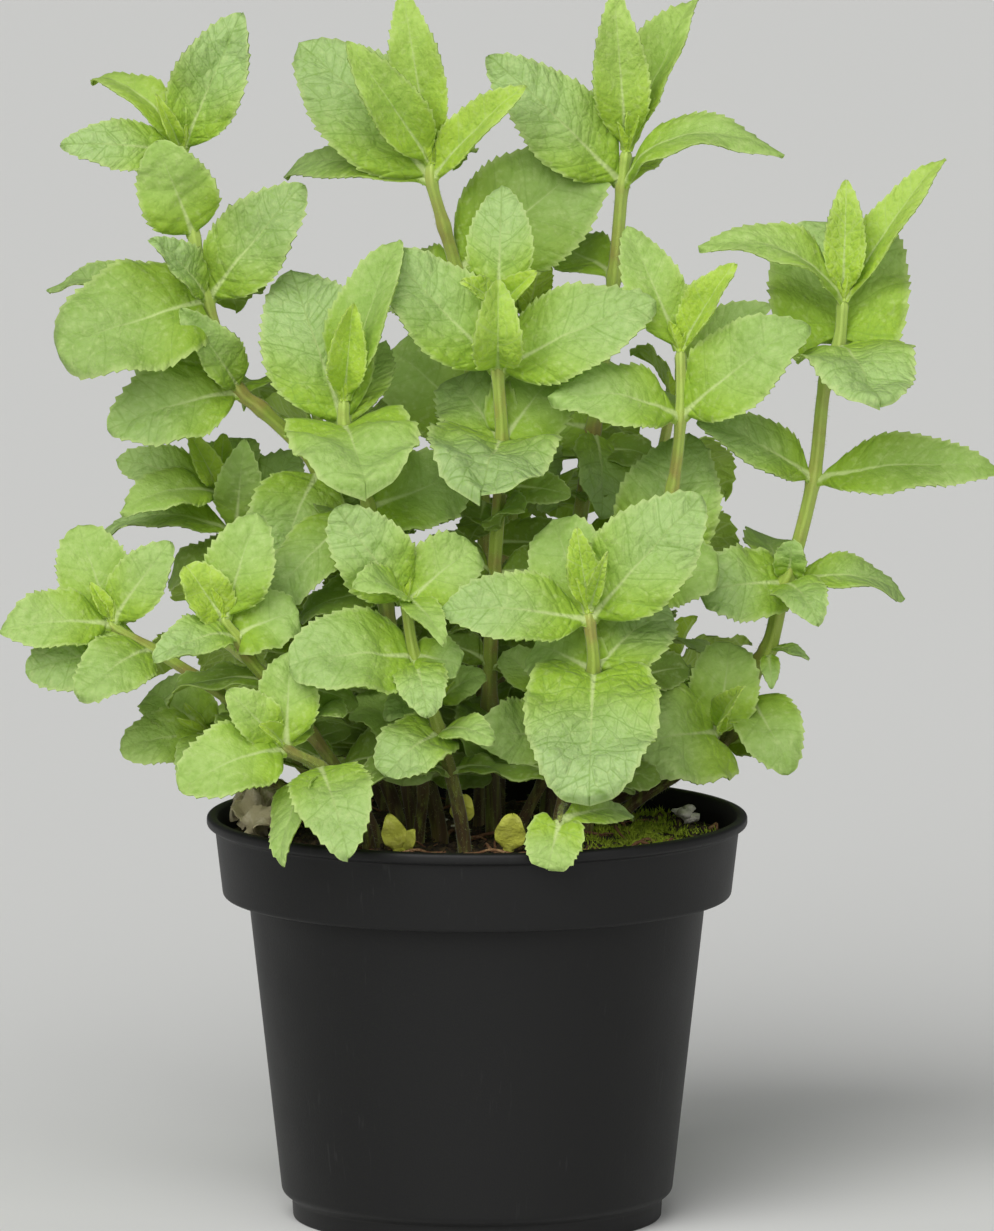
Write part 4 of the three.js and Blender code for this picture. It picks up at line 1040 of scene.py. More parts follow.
SHOOTS = [
    Shoot("left_tall", 2.3, 1.2, [
        node(-15, 12, -4), node(-22, 15, 30), node(-31, 12, 61),
        node(-38, 8, 83, leaf(-49, -6, 57, 22, 0.12, 12, 50), leaf(-28, 14, 65, 18, 0.1, 10, 55)),
        node(-52, 5, 98),
        node(-57, 4, 102,
             leaf(-89, -2, 93, 21, 0.08, 14, 54), leaf(-71, -9, 122, 14, 0.06, 42, 62),
             leaf(-84, 22, 109, 16, 0.12, 10, 60), leaf(-52, 38, 101, 20, 0.1, 12, -15)),
        node(-65, 2, 124,
             leaf(-101, -10, 112, 30, 0.06, 14, 60), leaf(-42, -4, 152, 20, 0.04, 14, 64),
             leaf(-78, -12, 139, 12, 0.06, 34, 50), leaf(-104, 26, 127, 12, 0.1, 20, 40),
             leaf(-58, 38, 124, 22, 0.1, 12, -25)),
        node(-68, 1, 139, leaf(-77, -9, 162, 19, 0.03, 12, 80)),
        node(-71, 0, 160,
             leaf(-57, -3, 193, 22, 0, 36, 72), leaf(-100, -8, 162, 13, 0.03, 14, 70),
             leaf(-93, 16, 177, 12, 0.24, 24, 34), leaf(-77, -10, 173, 7, 0.03, 55, 70),
             leaf(-71, 3, 171, 5, 0.03, 50, 70), leaf(-73, 24, 168, 13, 0.08, 18, -40)),
    ]),
    Shoot("left_big", 2.2, 1.2, [
        node(-9, -6, -7), node(-16, -10, 23), node(-22, -14, 51),
        node(-26, -14, 74, leaf(-3, -6, 81, 21, 0.08, 12, 60), leaf(-52, -26, 47, 16, 0.12, 14, 40)),
        node(-32, -14, 94,
             leaf(-45, 2, 132, 27, 0.03, 10, 80), leaf(-27, -44, 81, 33, 0.04, 20, 40),
             leaf(-22, 8, 114, 13, 0.06, 22, 60), leaf(-38, 20, 100, 20, 0.1, 12, -15)),
        node(-32, -14, 100,
             leaf(-19, -7, 139, 21, 0.04, 42, 60, -20), leaf(-30, -22, 123, 13, 0.02, 46, 80)),
    ]),
    Shoot("top_centre", 2.2, 1.2, [
        node(1, 20, -3), node(2, 25, 30), node(2, 27, 61),
        node(0, 26, 94, leaf(-21, 34, 113, 24, 0.08, 10, 70), leaf(20, 34, 74, 18, 0.1, 10, 40)),
        node(-5, 24, 131,
             leaf(30, 36, 160, 30, 0.06, 10, 76), leaf(-20, 44, 124, 18, 0.12, 10, 50),
             leaf(8, 58, 128, 20, 0.1, 12, -25)),
        node(-8, 22, 142),
        node(-11, 20, 153,
             leaf(-43, 30, 187, 27, 0.05, 12, 62), leaf(11, 10, 176, 13, 0.04, 34, 50),
             leaf(-47, 42, 154, 13, 0.18, 10, 52), leaf(-6, 48, 158, 18, 0.1, 12, -35)),
        node(-11, 20, 157, leaf(-31, 8, 186, 17, 0.03, 40, 74), leaf(-18, 22, 199, 15, 0.03, 28, 84)),
    ]),
    Shoot("centre", 2.2, 1.2, [
        node(4, 0, -6), node(3, -2, 27), node(4, -4, 57),
        node(6, -6, 90,
             leaf(1, -42, 79, 33, 0.06, 18, 40), leaf(-6, 12, 106, 19, 0.06, 12, 70),
             leaf(20, 8, 108, 20, 0.06, 12, 70)),
        node(5, -7, 107,
             leaf(-23, -4, 136, 23, 0.07, 16, 64), leaf(43, -10, 124, 24, 0.07, 16, 60),
             leaf(4, 22, 110, 18, 0.1, 12, -15), leaf(5, -19, 129, 15, 0.16, 38, 78)),
        node(5, -7, 122,
             leaf(6, 2, 152, 16, 0.04, 10, 84), leaf(14, -16, 131, 8, 0.03, 42, 60),
             leaf(-3, -16, 129, 8, 0.03, 34, 50)),
    ]),
    Shoot("top_right", 2.3, 1.3, [
        node(17, 25, -2), node(20, 32, 30), node(24, 36, 66),
        node(28, 37, 93,
             leaf(30, 22, 72, 17, 0.06, 14, -30), leaf(10, 50, 95, 20, 0.08, 10, 60),
             leaf(36, 68, 92, 19, 0.1, 12, -20)),
        node(33, 34, 130, leaf(14, 52, 137, 17, 0.1, 10, 35), leaf(46, 56, 116, 16, 0.12, 12, 30)),
        node(35, 32, 152,
             leaf(3, 23, 183, 21, 0.04, 12, 68), leaf(74, 20, 159, 15, 0.28, 16, 36),
             leaf(37, 62, 156, 18, 0.1, 12, -35)),
        node(36, 31, 160,
             leaf(33, 22, 198, 15, 0.03, 26, 84), leaf(52, 44, 198, 18, 0.02, 46, 80, -30),
             leaf(39, 27, 177, 6, 0.02, 60, 80)),
    ]),
    Shoot("right_centre", 2.1, 1.1, [
        node(26, 4, -5), node(35, 2, 30),
        node(41, -1, 57, leaf(51, 12, 92, 25, 0.04, 10, 80), leaf(58, -8, 59, 18, 0.08, 12, 62)),
        node(47, -3, 79),
        node(49, -5, 96,
             leaf(17, -14, 101, 18, 0.15, 14, 52), leaf(79, -13, 119, 22, 0.06, 16, 60),
             leaf(48, 27, 98, 18, 0.1, 12, -15)),
        node(49, -5, 112,
             leaf(36, -1, 142, 15, 0.06, 18, 74), leaf(62, -10, 133, 12, 0.03, 40, 60, -20),
             leaf(47, 4, 126, 8, 0.03, 40, 70)),
    ]),
    Shoot("right_tall", 2.6, 1.3, [
        node(30, 36, -1), node(43, 33, 9), node(58, 26, 16),
        node(65, 19, 29, leaf(75, 2, 10, 17, 0.16, 12, 52)),
        node(67, 16, 36),
        node(70, 14, 40, leaf(80, 8, 38, 5, 0.12, 20, 30), leaf(71, 6, 31, 5, 0.06, 20, 40)),
        node(74, 9, 56,
             leaf(54, 0, 54, 19, 0.06, 12, 60), leaf(82, -14, 47, 13, 0.1, 14, 40),
             leaf(104, 14, 53, 12, 0.16, 16, 36), leaf(67, 34, 69, 14, 0.06, 10, -30)),
        node(75, 9, 58, leaf(76, 4, 66, 9, 0.04, 30, 70)),
        node(81, 6, 81, leaf(53, 0, 95, 15, 0.1, 16, 54), leaf(126, -6, 84, 17, 0.08, 14, 52)),
        node(84, 5, 105),
        node(87, 5, 113, leaf(97, -32, 99, 28, 0.08, 14, 40), leaf(87, 26, 144, 34, 0.05, 10, 78)),
        node(88, 5, 124,
             leaf(53, -6, 138, 15, 0.2, 20, 38), leaf(112, 10, 159, 13, 0.03, 30, 60, -25),
             leaf(89, 4, 153, 12, 0.03, 34, 82)),
    ]),
    Shoot("right_low", 1.8, 1, [
        node(34, 16, -3), node(48, 14, 10),
        node(58, 8, 20,
             leaf(38, -8, 17, 28, 0.08, 12, 64), leaf(61, 12, 42, 17, 0.06, 12, 80),
             leaf(37, 18, 38, 13, 0.12, 18, 40), leaf(64, -12, 31, 9, 0.06, 40, 60)),
    ]),
    Shoot("front_right", 2, 1.1, [
        node(19, -24, -9), node(23, -30, 13),
        node(28, -36, 35,
             leaf(27, -66, 5, 34, 0.05, 20, 45), leaf(13, -26, 41, 17, 0.08, 12, 60),
             leaf(46, -20, 51, 19, 0.08, 12, 62)),
        node(27, -38, 47,
             leaf(54, -38, 77, 24, 0.05, 12, 68), leaf(-9, -46, 50, 18, 0.07, 16, 58),
             leaf(18, -24, 72, 20, 0.05, 12, 80)),
        node(27, -38, 49, leaf(24, -42, 69, 11, 0.02, 44, 78), leaf(31, -51, 63, 6, 0.02, 50, 70)),
    ]),
    Shoot("front_centre", 1.9, 1, [
        node(-3, -26, -11),
        node(-9, -38, 20, leaf(-22, -50, 10, 17, 0.1, 14, 50), leaf(4, -50, 18, 11, 0.12, 14, 40)),
        node(-15, -38, 38,
             leaf(-45, -50, 37, 24, 0.08, 12, 54), leaf(-4, -40, 36, 12, 0.12, 14, 40),
             leaf(-12, -54, 24, 13, 0.1, 14, 50)),
        node(-17, -35, 51, leaf(-34, -40, 74, 19, 0.05, 14, 68), leaf(0, -34, 65, 17, 0.08, 18, 62)),
        node(-17, -35, 52,
             leaf(-29, -52, 56, 12, 0.12, 16, 50), leaf(-17, -28, 60, 9, 0.03, 40, 70),
             leaf(-8, -59, 42, 9, 0.1, 18, 45)),
    ]),
    Shoot("front_left", 1.8, 1, [
        node(-26, -24, -10), node(-32, -38, 6),
        node(-38, -46, 12,
             leaf(-31, -76, -10, 20, 0.12, 16, 50), leaf(-47, -66, -12, 13, 0.1, 16, 50, -40)),
        node(-46, -50, 16,
             leaf(-72, -62, 7, 20, 0.1, 14, 54), leaf(-45, -44, 40, 15, 0.06, 14, 74),
             leaf(-42, -34, 24, 9, 0.06, 14, 60)),
        node(-47, -50, 17, leaf(-60, -54, 30, 12, 0.05, 20, 64), leaf(-52, -62, 22, 6, 0.04, 40, 60)),
    ]),
    Shoot("far_left", 1.8, 1, [
        node(-30, -12, -8), node(-50, -18, 20), node(-67, -22, 33),
        node(-78, -24, 40, leaf(-96, -42, 29, 17, 0.1, 14, 52), leaf(-109, -28, 35, 20, 0.08, 12, 56)),
        node(-88, -25, 46,
             leaf(-115, -32, 45, 16, 0.08, 16, 52), leaf(-96, -17, 70, 18, 0.04, 12, 76),
             leaf(-74, -28, 66, 14, 0.05, 16, 62), leaf(-91, 2, 39, 16, 0.1, 10, 40)),
        node(-88, -25, 47, leaf(-93, -28, 56, 6, 0.04, 45, 60)),
    ]),
    Shoot("mid_left", 1.8, 1, [
        node(-24, -20, -9), node(-40, -30, 20), node(-55, -34, 38),
        node(-58, -35, 43, leaf(-78, -50, 38, 13, 0.14, 16, 50), leaf(-43, -34, 49, 15, 0.1, 12, 50)),
        node(-61, -36, 47, leaf(-53, -36, 73, 17, 0.05, 14, 70), leaf(-70, -40, 60, 13, 0.04, 30, 62)),
        node(-61, -36, 48, leaf(-62, -30, 59, 5, 0.03, 45, 70)),
    ]),
    Shoot("left_mid", 1.9, 1, [
        node(-19, 20, -3), node(-34, 24, 30), node(-50, 24, 51),
        node(-58, 22, 68,
             leaf(-43, 30, 88, 16, 0.1, 12, 50), leaf(-91, 26, 69, 13, 0.16, 14, 36),
             leaf(-56, 8, 90, 12, 0.06, 12, 60)),
        node(-62, 20, 77,
             leaf(-86, 8, 73, 14, 0.18, 16, 40), leaf(-57, 32, 91, 15, 0.06, 20, 50),
             leaf(-87, 24, 86, 13, 0.1, 14, 56)),
        node(-62, 20, 78, leaf(-69, 14, 92, 10, 0.03, 48, 66), leaf(-61, 22, 92, 8, 0.03, 40, 66)),
    ]),
    Shoot("low_left", 1.7, 1, [
        node(-31, 0, -6), node(-52, -6, 10),
        node(-65, -10, 20,
             leaf(-86, -14, 16, 15, 0.08, 12, 60), leaf(-79, 0, 30, 16, 0.1, 12, 50),
             leaf(-71, -28, 8, 9, 0.1, 12, 40)),
    ]),
    Shoot("low_centre", 1.6, 0.9, [
        node(-14, -12, -8), node(-13, -17, 6),
        node(-14, -19, 18, leaf(-18, -33, 8, 16, 0.08, 12, 50), leaf(-30, -22, 27, 17, 0.1, 10, 40)),
        node(-10, -20, 27, leaf(-22, -33, 24, 11, 0.12, 14, 44), leaf(2, -22, 34, 10, 0.12, 14, 44)),
    ]),
    Shoot("low_mid", 1.6, 0.9, [
        node(10, -8, -7), node(16, -12, 9),
        node(19, -14, 18, leaf(0, -30, 19, 17, 0.1, 12, 60), leaf(38, -30, 6, 9, 0.1, 14, 60)),
        node(17, -14, 29, leaf(6, -8, 40, 11, 0.1, 14, 60), leaf(39, -2, 39, 14, 0.1, 14, 50)),
    ]),
    Shoot("runner", 1.2, 0.8, [
        node(22, -42, -12), node(21, -50, 2),
        node(20, -60, -1, leaf(17, -67, -12.5, 13.5, 0.06, 12, 60), leaf(38, -40, 0, 10, 0.1, 12, 50)),
    ]),
    Shoot("back_left", 2, 1.1, [
        node(-18, 46, 2),
        node(-27, 54, 39, leaf(-50, 66, 36, 20, 0.1, 12, -15), leaf(-10, 78, 36, 20, 0.1, 12, -20)),
        node(-33, 60, 66, leaf(-58, 74, 60, 23, 0.12, 12, -30), leaf(-17, 86, 72, 23, 0.12, 12, -30)),
        node(-37, 63, 88, leaf(-55, 79, 100, 20, 0.1, 12, -40), leaf(-19, 86, 95, 20, 0.1, 12, -40)),
        node(-40, 64, 104, leaf(-45, 74, 121, 16, 0.06, 18, -50), leaf(-26, 52, 114, 15, 0.06, 18, -40)),
    ]),
    Shoot("back_centre", 2, 1.1, [
        node(5, 42, 1),
        node(6, 62, 42, leaf(24, 84, 44, 20, 0.1, 12, -20)),
        node(8, 68, 71, leaf(-9, 80, 73, 21, 0.12, 12, -30), leaf(29, 96, 76, 24, 0.12, 12, -30)),
        node(10, 71, 92, leaf(-6, 60, 90, 17, 0.1, 12, 30), leaf(15, 104, 83, 22, 0.12, 12, -50)),
        node(11, 72, 114, leaf(-4, 84, 124, 19, 0.08, 12, -45), leaf(29, 86, 121, 19, 0.08, 12, -45)),
        node(12, 72, 119, leaf(10, 78, 143, 15, 0.04, 26, -75), leaf(16, 70, 136, 10, 0.04, 30, -60)),
    ]),
    Shoot("back_right", 2, 1.1, [
        node(19, 46, 2),
        node(32, 58, 39, leaf(60, 52, 38, 19, 0.1, 12, -10), leaf(22, 82, 30, 18, 0.1, 12, -20)),
        node(39, 64, 65, leaf(22, 85, 54, 22, 0.12, 12, -30), leaf(62, 84, 60, 23, 0.12, 12, -30)),
        node(44, 68, 85, leaf(27, 88, 90, 19, 0.1, 16, -40), leaf(60, 92, 78, 19, 0.12, 12, -40)),
        node(47, 70, 100, leaf(70, 62, 124, 14, 0.1, 14, 36), leaf(39, 84, 112, 14, 0.06, 16, -50)),
    ]),
    Shoot("back_low_left", 1.8, 1, [
        node(-22, 36, 0), node(-43, 60, 27),
        node(-57, 76, 39, leaf(-72, 70, 56, 18, 0.1, 12, -10), leaf(-43, 92, 52, 18, 0.1, 12, -30)),
        node(-61, 80, 42,
             leaf(-80, 88, 34, 17, 0.12, 12, -20), leaf(-55, 106, 24, 18, 0.12, 12, -40),
             leaf(-57, 88, 57, 10, 0.04, 30, -50)),
    ]),
    Shoot("back_low_right", 1.8, 1, [
        node(21, 30, -2), node(37, 58, 20),
        node(45, 72, 30, leaf(32, 84, 48, 18, 0.1, 12, -20), leaf(66, 70, 42, 17, 0.1, 12, -10)),
        node(47, 76, 34,
             leaf(30, 94, 20, 18, 0.12, 12, -30), leaf(60, 96, 24, 17, 0.12, 12, -25),
             leaf(52, 87, 48, 10, 0.04, 30, -50)),
    ]),
    Shoot("back_low", 1.8, 1, [
        node(-6, 48, 2), node(-4, 76, 23),
        node(-5, 90, 37, leaf(-30, 92, 40, 18, 0.1, 12, -20), leaf(20, 94, 40, 18, 0.1, 12, -20)),
        node(-5, 94, 42,
             leaf(-4, 118, 24, 17, 0.12, 16, -45), leaf(-9, 88, 56, 15, 0.06, 14, -60),
             leaf(-4, 98, 49, 9, 0.04, 36, -60)),
    ]),
]


# ---- Pot and soil ----


def eased(corners: list[tuple[float, float, float]], steps: int = 5) -> Array:
    """A profile whose corners are eased: each is a short curve that starts and ends its radius away.

    Args:
        corners: Radius from the axis, height, and the corner's own radius.
        steps: Points on each curve, less one.

    Returns:
        The profile's points, radius and height in each row.
    """
    plain = np.array(corners)[:, :2]
    u = np.linspace(0, 1, steps + 1)[:, None]
    found = [plain[:1]]
    for before, here, after, (_, _, radius) in zip(plain[:-2], plain[1:-1], plain[2:], corners[1:-1]):
        ways = (before - here, after - here)
        start, end = (here + way * min(0.45, radius / np.linalg.norm(way)) for way in ways)
        found.append((1 - u) ** 2 * start + 2 * u * (1 - u) * here + u**2 * end)
    return np.vstack([*found, plain[-1:]])


def turned(profile: Array, sides: int, lift: Array | float = 0.0) -> Skin:
    """A solid of revolution about +Z, from a profile that runs from the axis at the bottom round the outside
    to the axis at the top.

    Args:
        profile: Radius and height in each row.
        sides: Faces round the axis.
        lift: How far each point is raised, a row for each point of the profile.

    Returns:
        The solid, whose poles are still to be welded.
    """
    angle = np.linspace(0, TURN, sides, endpoint=False)
    radius, height = profile[:, :1], profile[:, 1:]
    skin = Skin()
    points = np.stack([radius * np.cos(angle), radius * np.sin(angle), height + 0 * angle + lift], axis=-1)
    skin.add(points, cells(len(profile), sides, closed=True))
    return skin


@dataclass
class Pot:
    """The round nursery pot: a foot with drainage holes, a tapered body, a shelf, a collar and a lip."""

    sides: int = 144
    hub_radius: float = 23.0
    foot_width: float = 2.4
    foot_radius: float = 44.5
    floor_top: float = 3.6
    drain_floor: float = 2.0
    body_foot: tuple[float, float] = (47.2, 6.4)
    body_top: float = 55.2
    shelf: float = 78.4
    collar_foot: float = 61.3
    collar_top: float = 63.2
    lip_radius: float = 65.2
    lip_height: float = 3.2
    drains: int = 6
    drain_radius: float = 4.0
    drain_circle: float = 33.0
    drill_reach: tuple[float, float] = (-5.0, 10.0)

    def body_radius(self, z: float) -> float:
        """The outside of the body at height z."""
        foot, low = self.body_foot
        return foot + (self.body_top - foot) * (z - low) / (self.shelf - low)

    def collar_radius(self, z: float) -> float:
        """The outside of the collar at height z."""
        high, flare = POT_HEIGHT - self.lip_height, self.collar_top - self.collar_foot
        return self.collar_foot + flare * (z - self.shelf) / (high - self.shelf)

    def inside(self, top: float, gap: float = 0.0) -> list[tuple[float, float, float]]:
        """The profile of the pot's inside from its floor up to a height, drawn in by a gap."""
        low, ledge, less = self.body_foot[1], self.shelf + WALL, WALL + gap
        return [
            (self.foot_radius - less, self.floor_top + gap, 0.5),
            (self.body_radius(low) - less, low + gap, 0.5),
            (self.body_top - less, ledge + gap, 0.6),
            (self.collar_radius(ledge) - less, ledge + gap, 0.8),
            (self.collar_radius(top) - less, top, 0.8),
        ]

    def shell(self) -> bpy.types.Object:
        """The pot with every edge eased, as it comes out of its mould, and its drainage holes."""
        ring, lip_foot = self.foot_radius - self.foot_width, POT_HEIGHT - self.lip_height
        foot_radius, foot_z = self.body_foot
        outside = [
            (0, 0, 0),
            (self.hub_radius, 0, 0.4),
            (self.hub_radius + 1, self.drain_floor, 0.4),
            (ring - 1, self.drain_floor, 0.4),
            (ring, 0, 0.3),
            (self.foot_radius, 0, 0.5),
            (self.foot_radius + 0.3, foot_z - 1.8, 0.6),
            (foot_radius, foot_z, 1.0),
            (self.body_top, self.shelf, 0.7),
            (self.collar_foot, self.shelf, 1.1),
            (self.collar_top, lip_foot, 0.6),
            (self.lip_radius, lip_foot + 0.8, 0.7),
            (self.lip_radius, POT_HEIGHT, 1.1),
            (self.collar_top - 0.4, POT_HEIGHT, 0.8),
        ]
        profile = eased([*outside, *reversed(self.inside(lip_foot)), (0, self.floor_top, 0)])
        piece = turned(profile, self.sides).piece("nursery_pot", 40, weld=True)
        drills = Skin()
        for angle in np.arange(self.drains) * TURN / self.drains:
            x, y = self.drain_circle * np.cos(angle), self.drain_circle * np.sin(angle)
            rod = np.array([[x, y, z] for z in self.drill_reach])
            drills.tube(rod, np.array([[0.0, 0.0, 1.0]] * 2), np.full((2, 28), self.drain_radius))
        drill = drills.piece("drill")
        cut = piece.modifiers.new("drains", "BOOLEAN")
        cut.object, cut.operation, cut.solver = drill, "DIFFERENCE", "EXACT"
        bpy.context.view_layer.update()
        whole = piece.evaluated_get(bpy.context.evaluated_depsgraph_get())
        piece.data = bpy.data.meshes.new_from_object(whole)
        piece.modifiers.clear()
        bpy.data.objects.remove(drill)
        return piece

    def build(self) -> None:
        """Makes the pot, which stands for its node."""
        dress(self.shell(), Finish.POT, "pot", "pot")


@dataclass
class Soil:
    """The block of potting soil, crumbly on top, with what grows and lies on it."""

    pot: Pot
    sides: int = 200
    rings: int = 90
    roll: float = 1.0
    crumb_count: int = 900
    grain_count: int = 60
    heap_count: int = 14
    heap: tuple[float, float] = (51.0, 20.0)
    fibre_count: int = 60
    fibre_bends: int = 5
    fibre_rings: int = 16
    moss_count: int = 9000
    moss_middle: tuple[float, float] = (38.0, 4.0)
    moss_spread: tuple[float, float] = (7.0, 15.0)
    moss_half: float = 0.3
    seed: int = 7

    @property
    def edge(self) -> float:
        """The radius of the soil's surface."""
        return self.pot.collar_radius(SOIL_TOP) - WALL - GAP

    def draw(self, number: int) -> np.random.Generator:
        """The random draws of one of the soil's pieces."""
        return np.random.default_rng(self.seed + number)

    def relief(self, x: Array, y: Array) -> Array:
        """The surface's height: it rolls gently as the solid does, with clods and crumbs on the rolls."""
        inner = 1 - smooth(np.hypot(x, y) / self.edge, 0.86, 1.0)
        rolls = np.sin(x / 9) * np.cos(y / 11) + 0.4 * np.sin((x + y) / 5)
        clods = 0.9 * np.abs(ripple(x, y, 9.0, self.seed)) + 0.5 * ripple(x, y, 3.4, self.seed + 1, 9)
        crumbs = 0.35 * ripple(x, y, 1.5, self.seed + 2, 12)
        return SOIL_TOP + self.roll * rolls * inner + clods * (0.4 + 0.6 * inner) + crumbs - 0.5

    def block(self) -> bpy.types.Object:
        """The soil as one closed body that fills the pot."""
        side = [(0, self.pot.floor_top + GAP, 0), *self.pot.inside(SOIL_TOP, GAP)]
        profile = eased([*side, (0, SOIL_TOP, 0)], 3)[:-1]
        radius = np.linspace(self.edge, 0, self.rings + 1)[1:]
        profile = np.vstack([profile, np.stack([radius, np.full_like(radius, SOIL_TOP)], axis=1)])
        angle = np.linspace(0, TURN, self.sides, endpoint=False)
        x, y = profile[:, :1] * np.cos(angle), profile[:, :1] * np.sin(angle)
        top = profile[:, 1:] > SOIL_TOP - 0.01
        lift = np.where(top, self.relief(x, y) - SOIL_TOP, 0)
        lift[-1] = lift[-1].mean()
        return turned(profile, self.sides, lift).piece("potting_soil", weld=True)

    def scattered(self, count: int, number: int) -> Array:
        """Random places on the surface, spread evenly over it."""
        draw = self.draw(number)
        radius = (self.edge - 1.5) * np.sqrt(draw.uniform(0, 1, count))
        angle = draw.uniform(0, TURN, count)
        x, y = radius * np.cos(angle), radius * np.sin(angle)
        return np.stack([x, y, self.relief(x, y)], axis=1)

    def lumps(self, name: str, places: Array, sizes: Array, number: int) -> bpy.types.Object:
        """Small uneven lumps: each is a ball of three rings and two poles, its points pushed in and out.

        Args:
            name: The piece's name.
            places: Where they lie.
            sizes: Their radii.
            number: Which random draws give their forms.

        Returns:
            The piece.
        """
        draw = self.draw(number)
        rows, sides, count = 5, 7, len(places)
        dip = np.linspace(0, np.pi, rows)[:, None]
        turn = np.linspace(0, TURN, sides, endpoint=False)
        ring = np.sin(dip)
        ball = np.stack([ring * np.cos(turn), ring * np.sin(turn), np.cos(dip) + 0 * turn], axis=-1)
        push = draw.uniform(0.65, 1.2, (count, rows, sides))
        push[:, [0, -1]] = push[:, [0, -1]].mean(axis=2, keepdims=True)
        stretch = draw.uniform(0.6, 1.3, (count, 1, 1, 3)) * np.array([1, 1, 0.75])
        shapes = ball * push[..., None] * stretch * sizes[:, None, None, None] + places[:, None, None]
        one = cells(rows, sides, closed=True).reshape(-1, 4)[:, ::-1]
        skin = Skin()
        skin.add(shapes, one + rows * sides * np.arange(count)[:, None, None])
        return skin.piece(name, weld=True)

    def crumbs(self) -> bpy.types.Object:
        """Loose crumbs of peat."""
        sizes = 0.35 + 1.1 * self.draw(20).uniform(0, 1, self.crumb_count) ** 3
        return self.lumps("peat_crumbs", self.scattered(self.crumb_count, 21), sizes, 22)

    def grains(self) -> bpy.types.Object:
        """A few pale grains, some of them heaped together as one white lump."""
        draw = self.draw(30)
        places = self.scattered(self.grain_count, 31)
        sizes = draw.uniform(0.3, 0.8, self.grain_count)
        heap = slice(self.heap_count)
        places[heap, :2] = np.array(self.heap) + draw.normal(0, 1.2, (self.heap_count, 2))
        places[heap, 2] = self.relief(*self.heap) + draw.uniform(0.5, 3.6, self.heap_count)
        sizes[heap] = draw.uniform(1.0, 2.1, self.heap_count)
        return self.lumps("pale_grains", places, sizes, 32)

    def fibres(self) -> bpy.types.Object:
        """Brown roots and dead stems that lie on the soil, each a thin bent rod."""
        draw = self.draw(40)
        skin = Skin()
        share = np.linspace(0, 1, self.fibre_rings)
        for start in self.scattered(self.fibre_count, 41):
            heading = draw.uniform(0, TURN)
            length, half = draw.uniform(8, 26), draw.uniform(0.2, 0.6)
            swing = heading + np.cumsum(draw.normal(0, 0.35, self.fibre_bends))
            x = start[0] + np.cumsum(np.cos(swing)) * length / self.fibre_bends
            y = start[1] + np.cumsum(np.sin(swing)) * length / self.fibre_bends
            limit = np.maximum(1, np.hypot(x, y) / (self.edge - 2))
            x, y = x / limit, y / limit
            hump = np.sin(np.pi * np.linspace(0, 1, self.fibre_bends))
            z = self.relief(x, y) + half * 0.6 + draw.uniform(0, 2.2) * hump
            section = half * fade(share, 1.0, 0.5)[:, None] * np.ones(6)
            skin.tube(*through(np.stack([x, y, z], axis=1), share), section)
        return skin.piece("roots_and_fibres")

    def moss(self) -> bpy.types.Object:
        """The patch of moss at the right: thousands of short pointed blades in soft humps."""
        draw = self.draw(50)
        (x, y), (wide, deep) = self.moss_middle, self.moss_spread
        x = x + wide * draw.normal(0, 1, self.moss_count)
        y = y + deep * draw.normal(0, 1, self.moss_count)
        keep = (np.hypot(x, y) < self.edge - 2) & (ripple(x, y, 9.0, self.seed + 51) > -0.15)
        x, y = x[keep], y[keep]
        root = np.stack([x, y, self.relief(x, y) - 0.2], axis=1)
        high = (1.3 + 0.9 * ripple(x, y, 6.0, self.seed + 52)).clip(0.5, 2.8) * draw.uniform(0.6, 1.2, len(x))
        lean = draw.normal(0, 0.45, (len(x), 2))
        tip = root + np.stack([lean[:, 0], lean[:, 1], np.ones(len(x))], axis=1) * high[:, None]
        turn = draw.uniform(0, TURN, len(x))[:, None] + np.array([0, 2.1, 4.2])
        round_foot = np.stack([np.cos(turn), np.sin(turn), 0 * turn], axis=-1)
        skin = Skin()
        skin.spikes(root[:, None] + self.moss_half * round_foot, tip)
        return skin.piece("moss")

    def fallen(self) -> None:
        """The small yellow leaves and the dry leaves that lie on the soil."""
        yellow, dry = Skin(), Skin()
        for k, place in enumerate(YELLOW_LEAVES):
            blade = Blade(place.at, place.leaves[0], 9000 + k, tooth=0.0, lobe=0.04, bare_stalk=0.2)
            blade.add_to(yellow, 0.5, 0)
        for k, place in enumerate(DRY_LEAVES):
            Blade(place.at, place.leaves[0], 9100 + k, dry=0.4).add_to(dry, 0.5, 1)
        dress(yellow.piece("yellow_leaves", 50), Finish.YELLOW, "leaf")
        dress(dry.piece("dry_leaves", 50), Finish.DRY, "soil")

    def build(self) -> None:
        """Makes the soil, which stands for its node, and all that lies on it."""
        dress(self.block(), Finish.SOIL, "soil", "soil")
        dress(self.crumbs(), Finish.CRUMB, "soil")
        dress(self.grains(), Finish.GRAIN, "soil")
        dress(self.fibres(), Finish.ROOT, "soil")
        dress(self.moss(), Finish.MOSS, "soil")
        self.fallen()


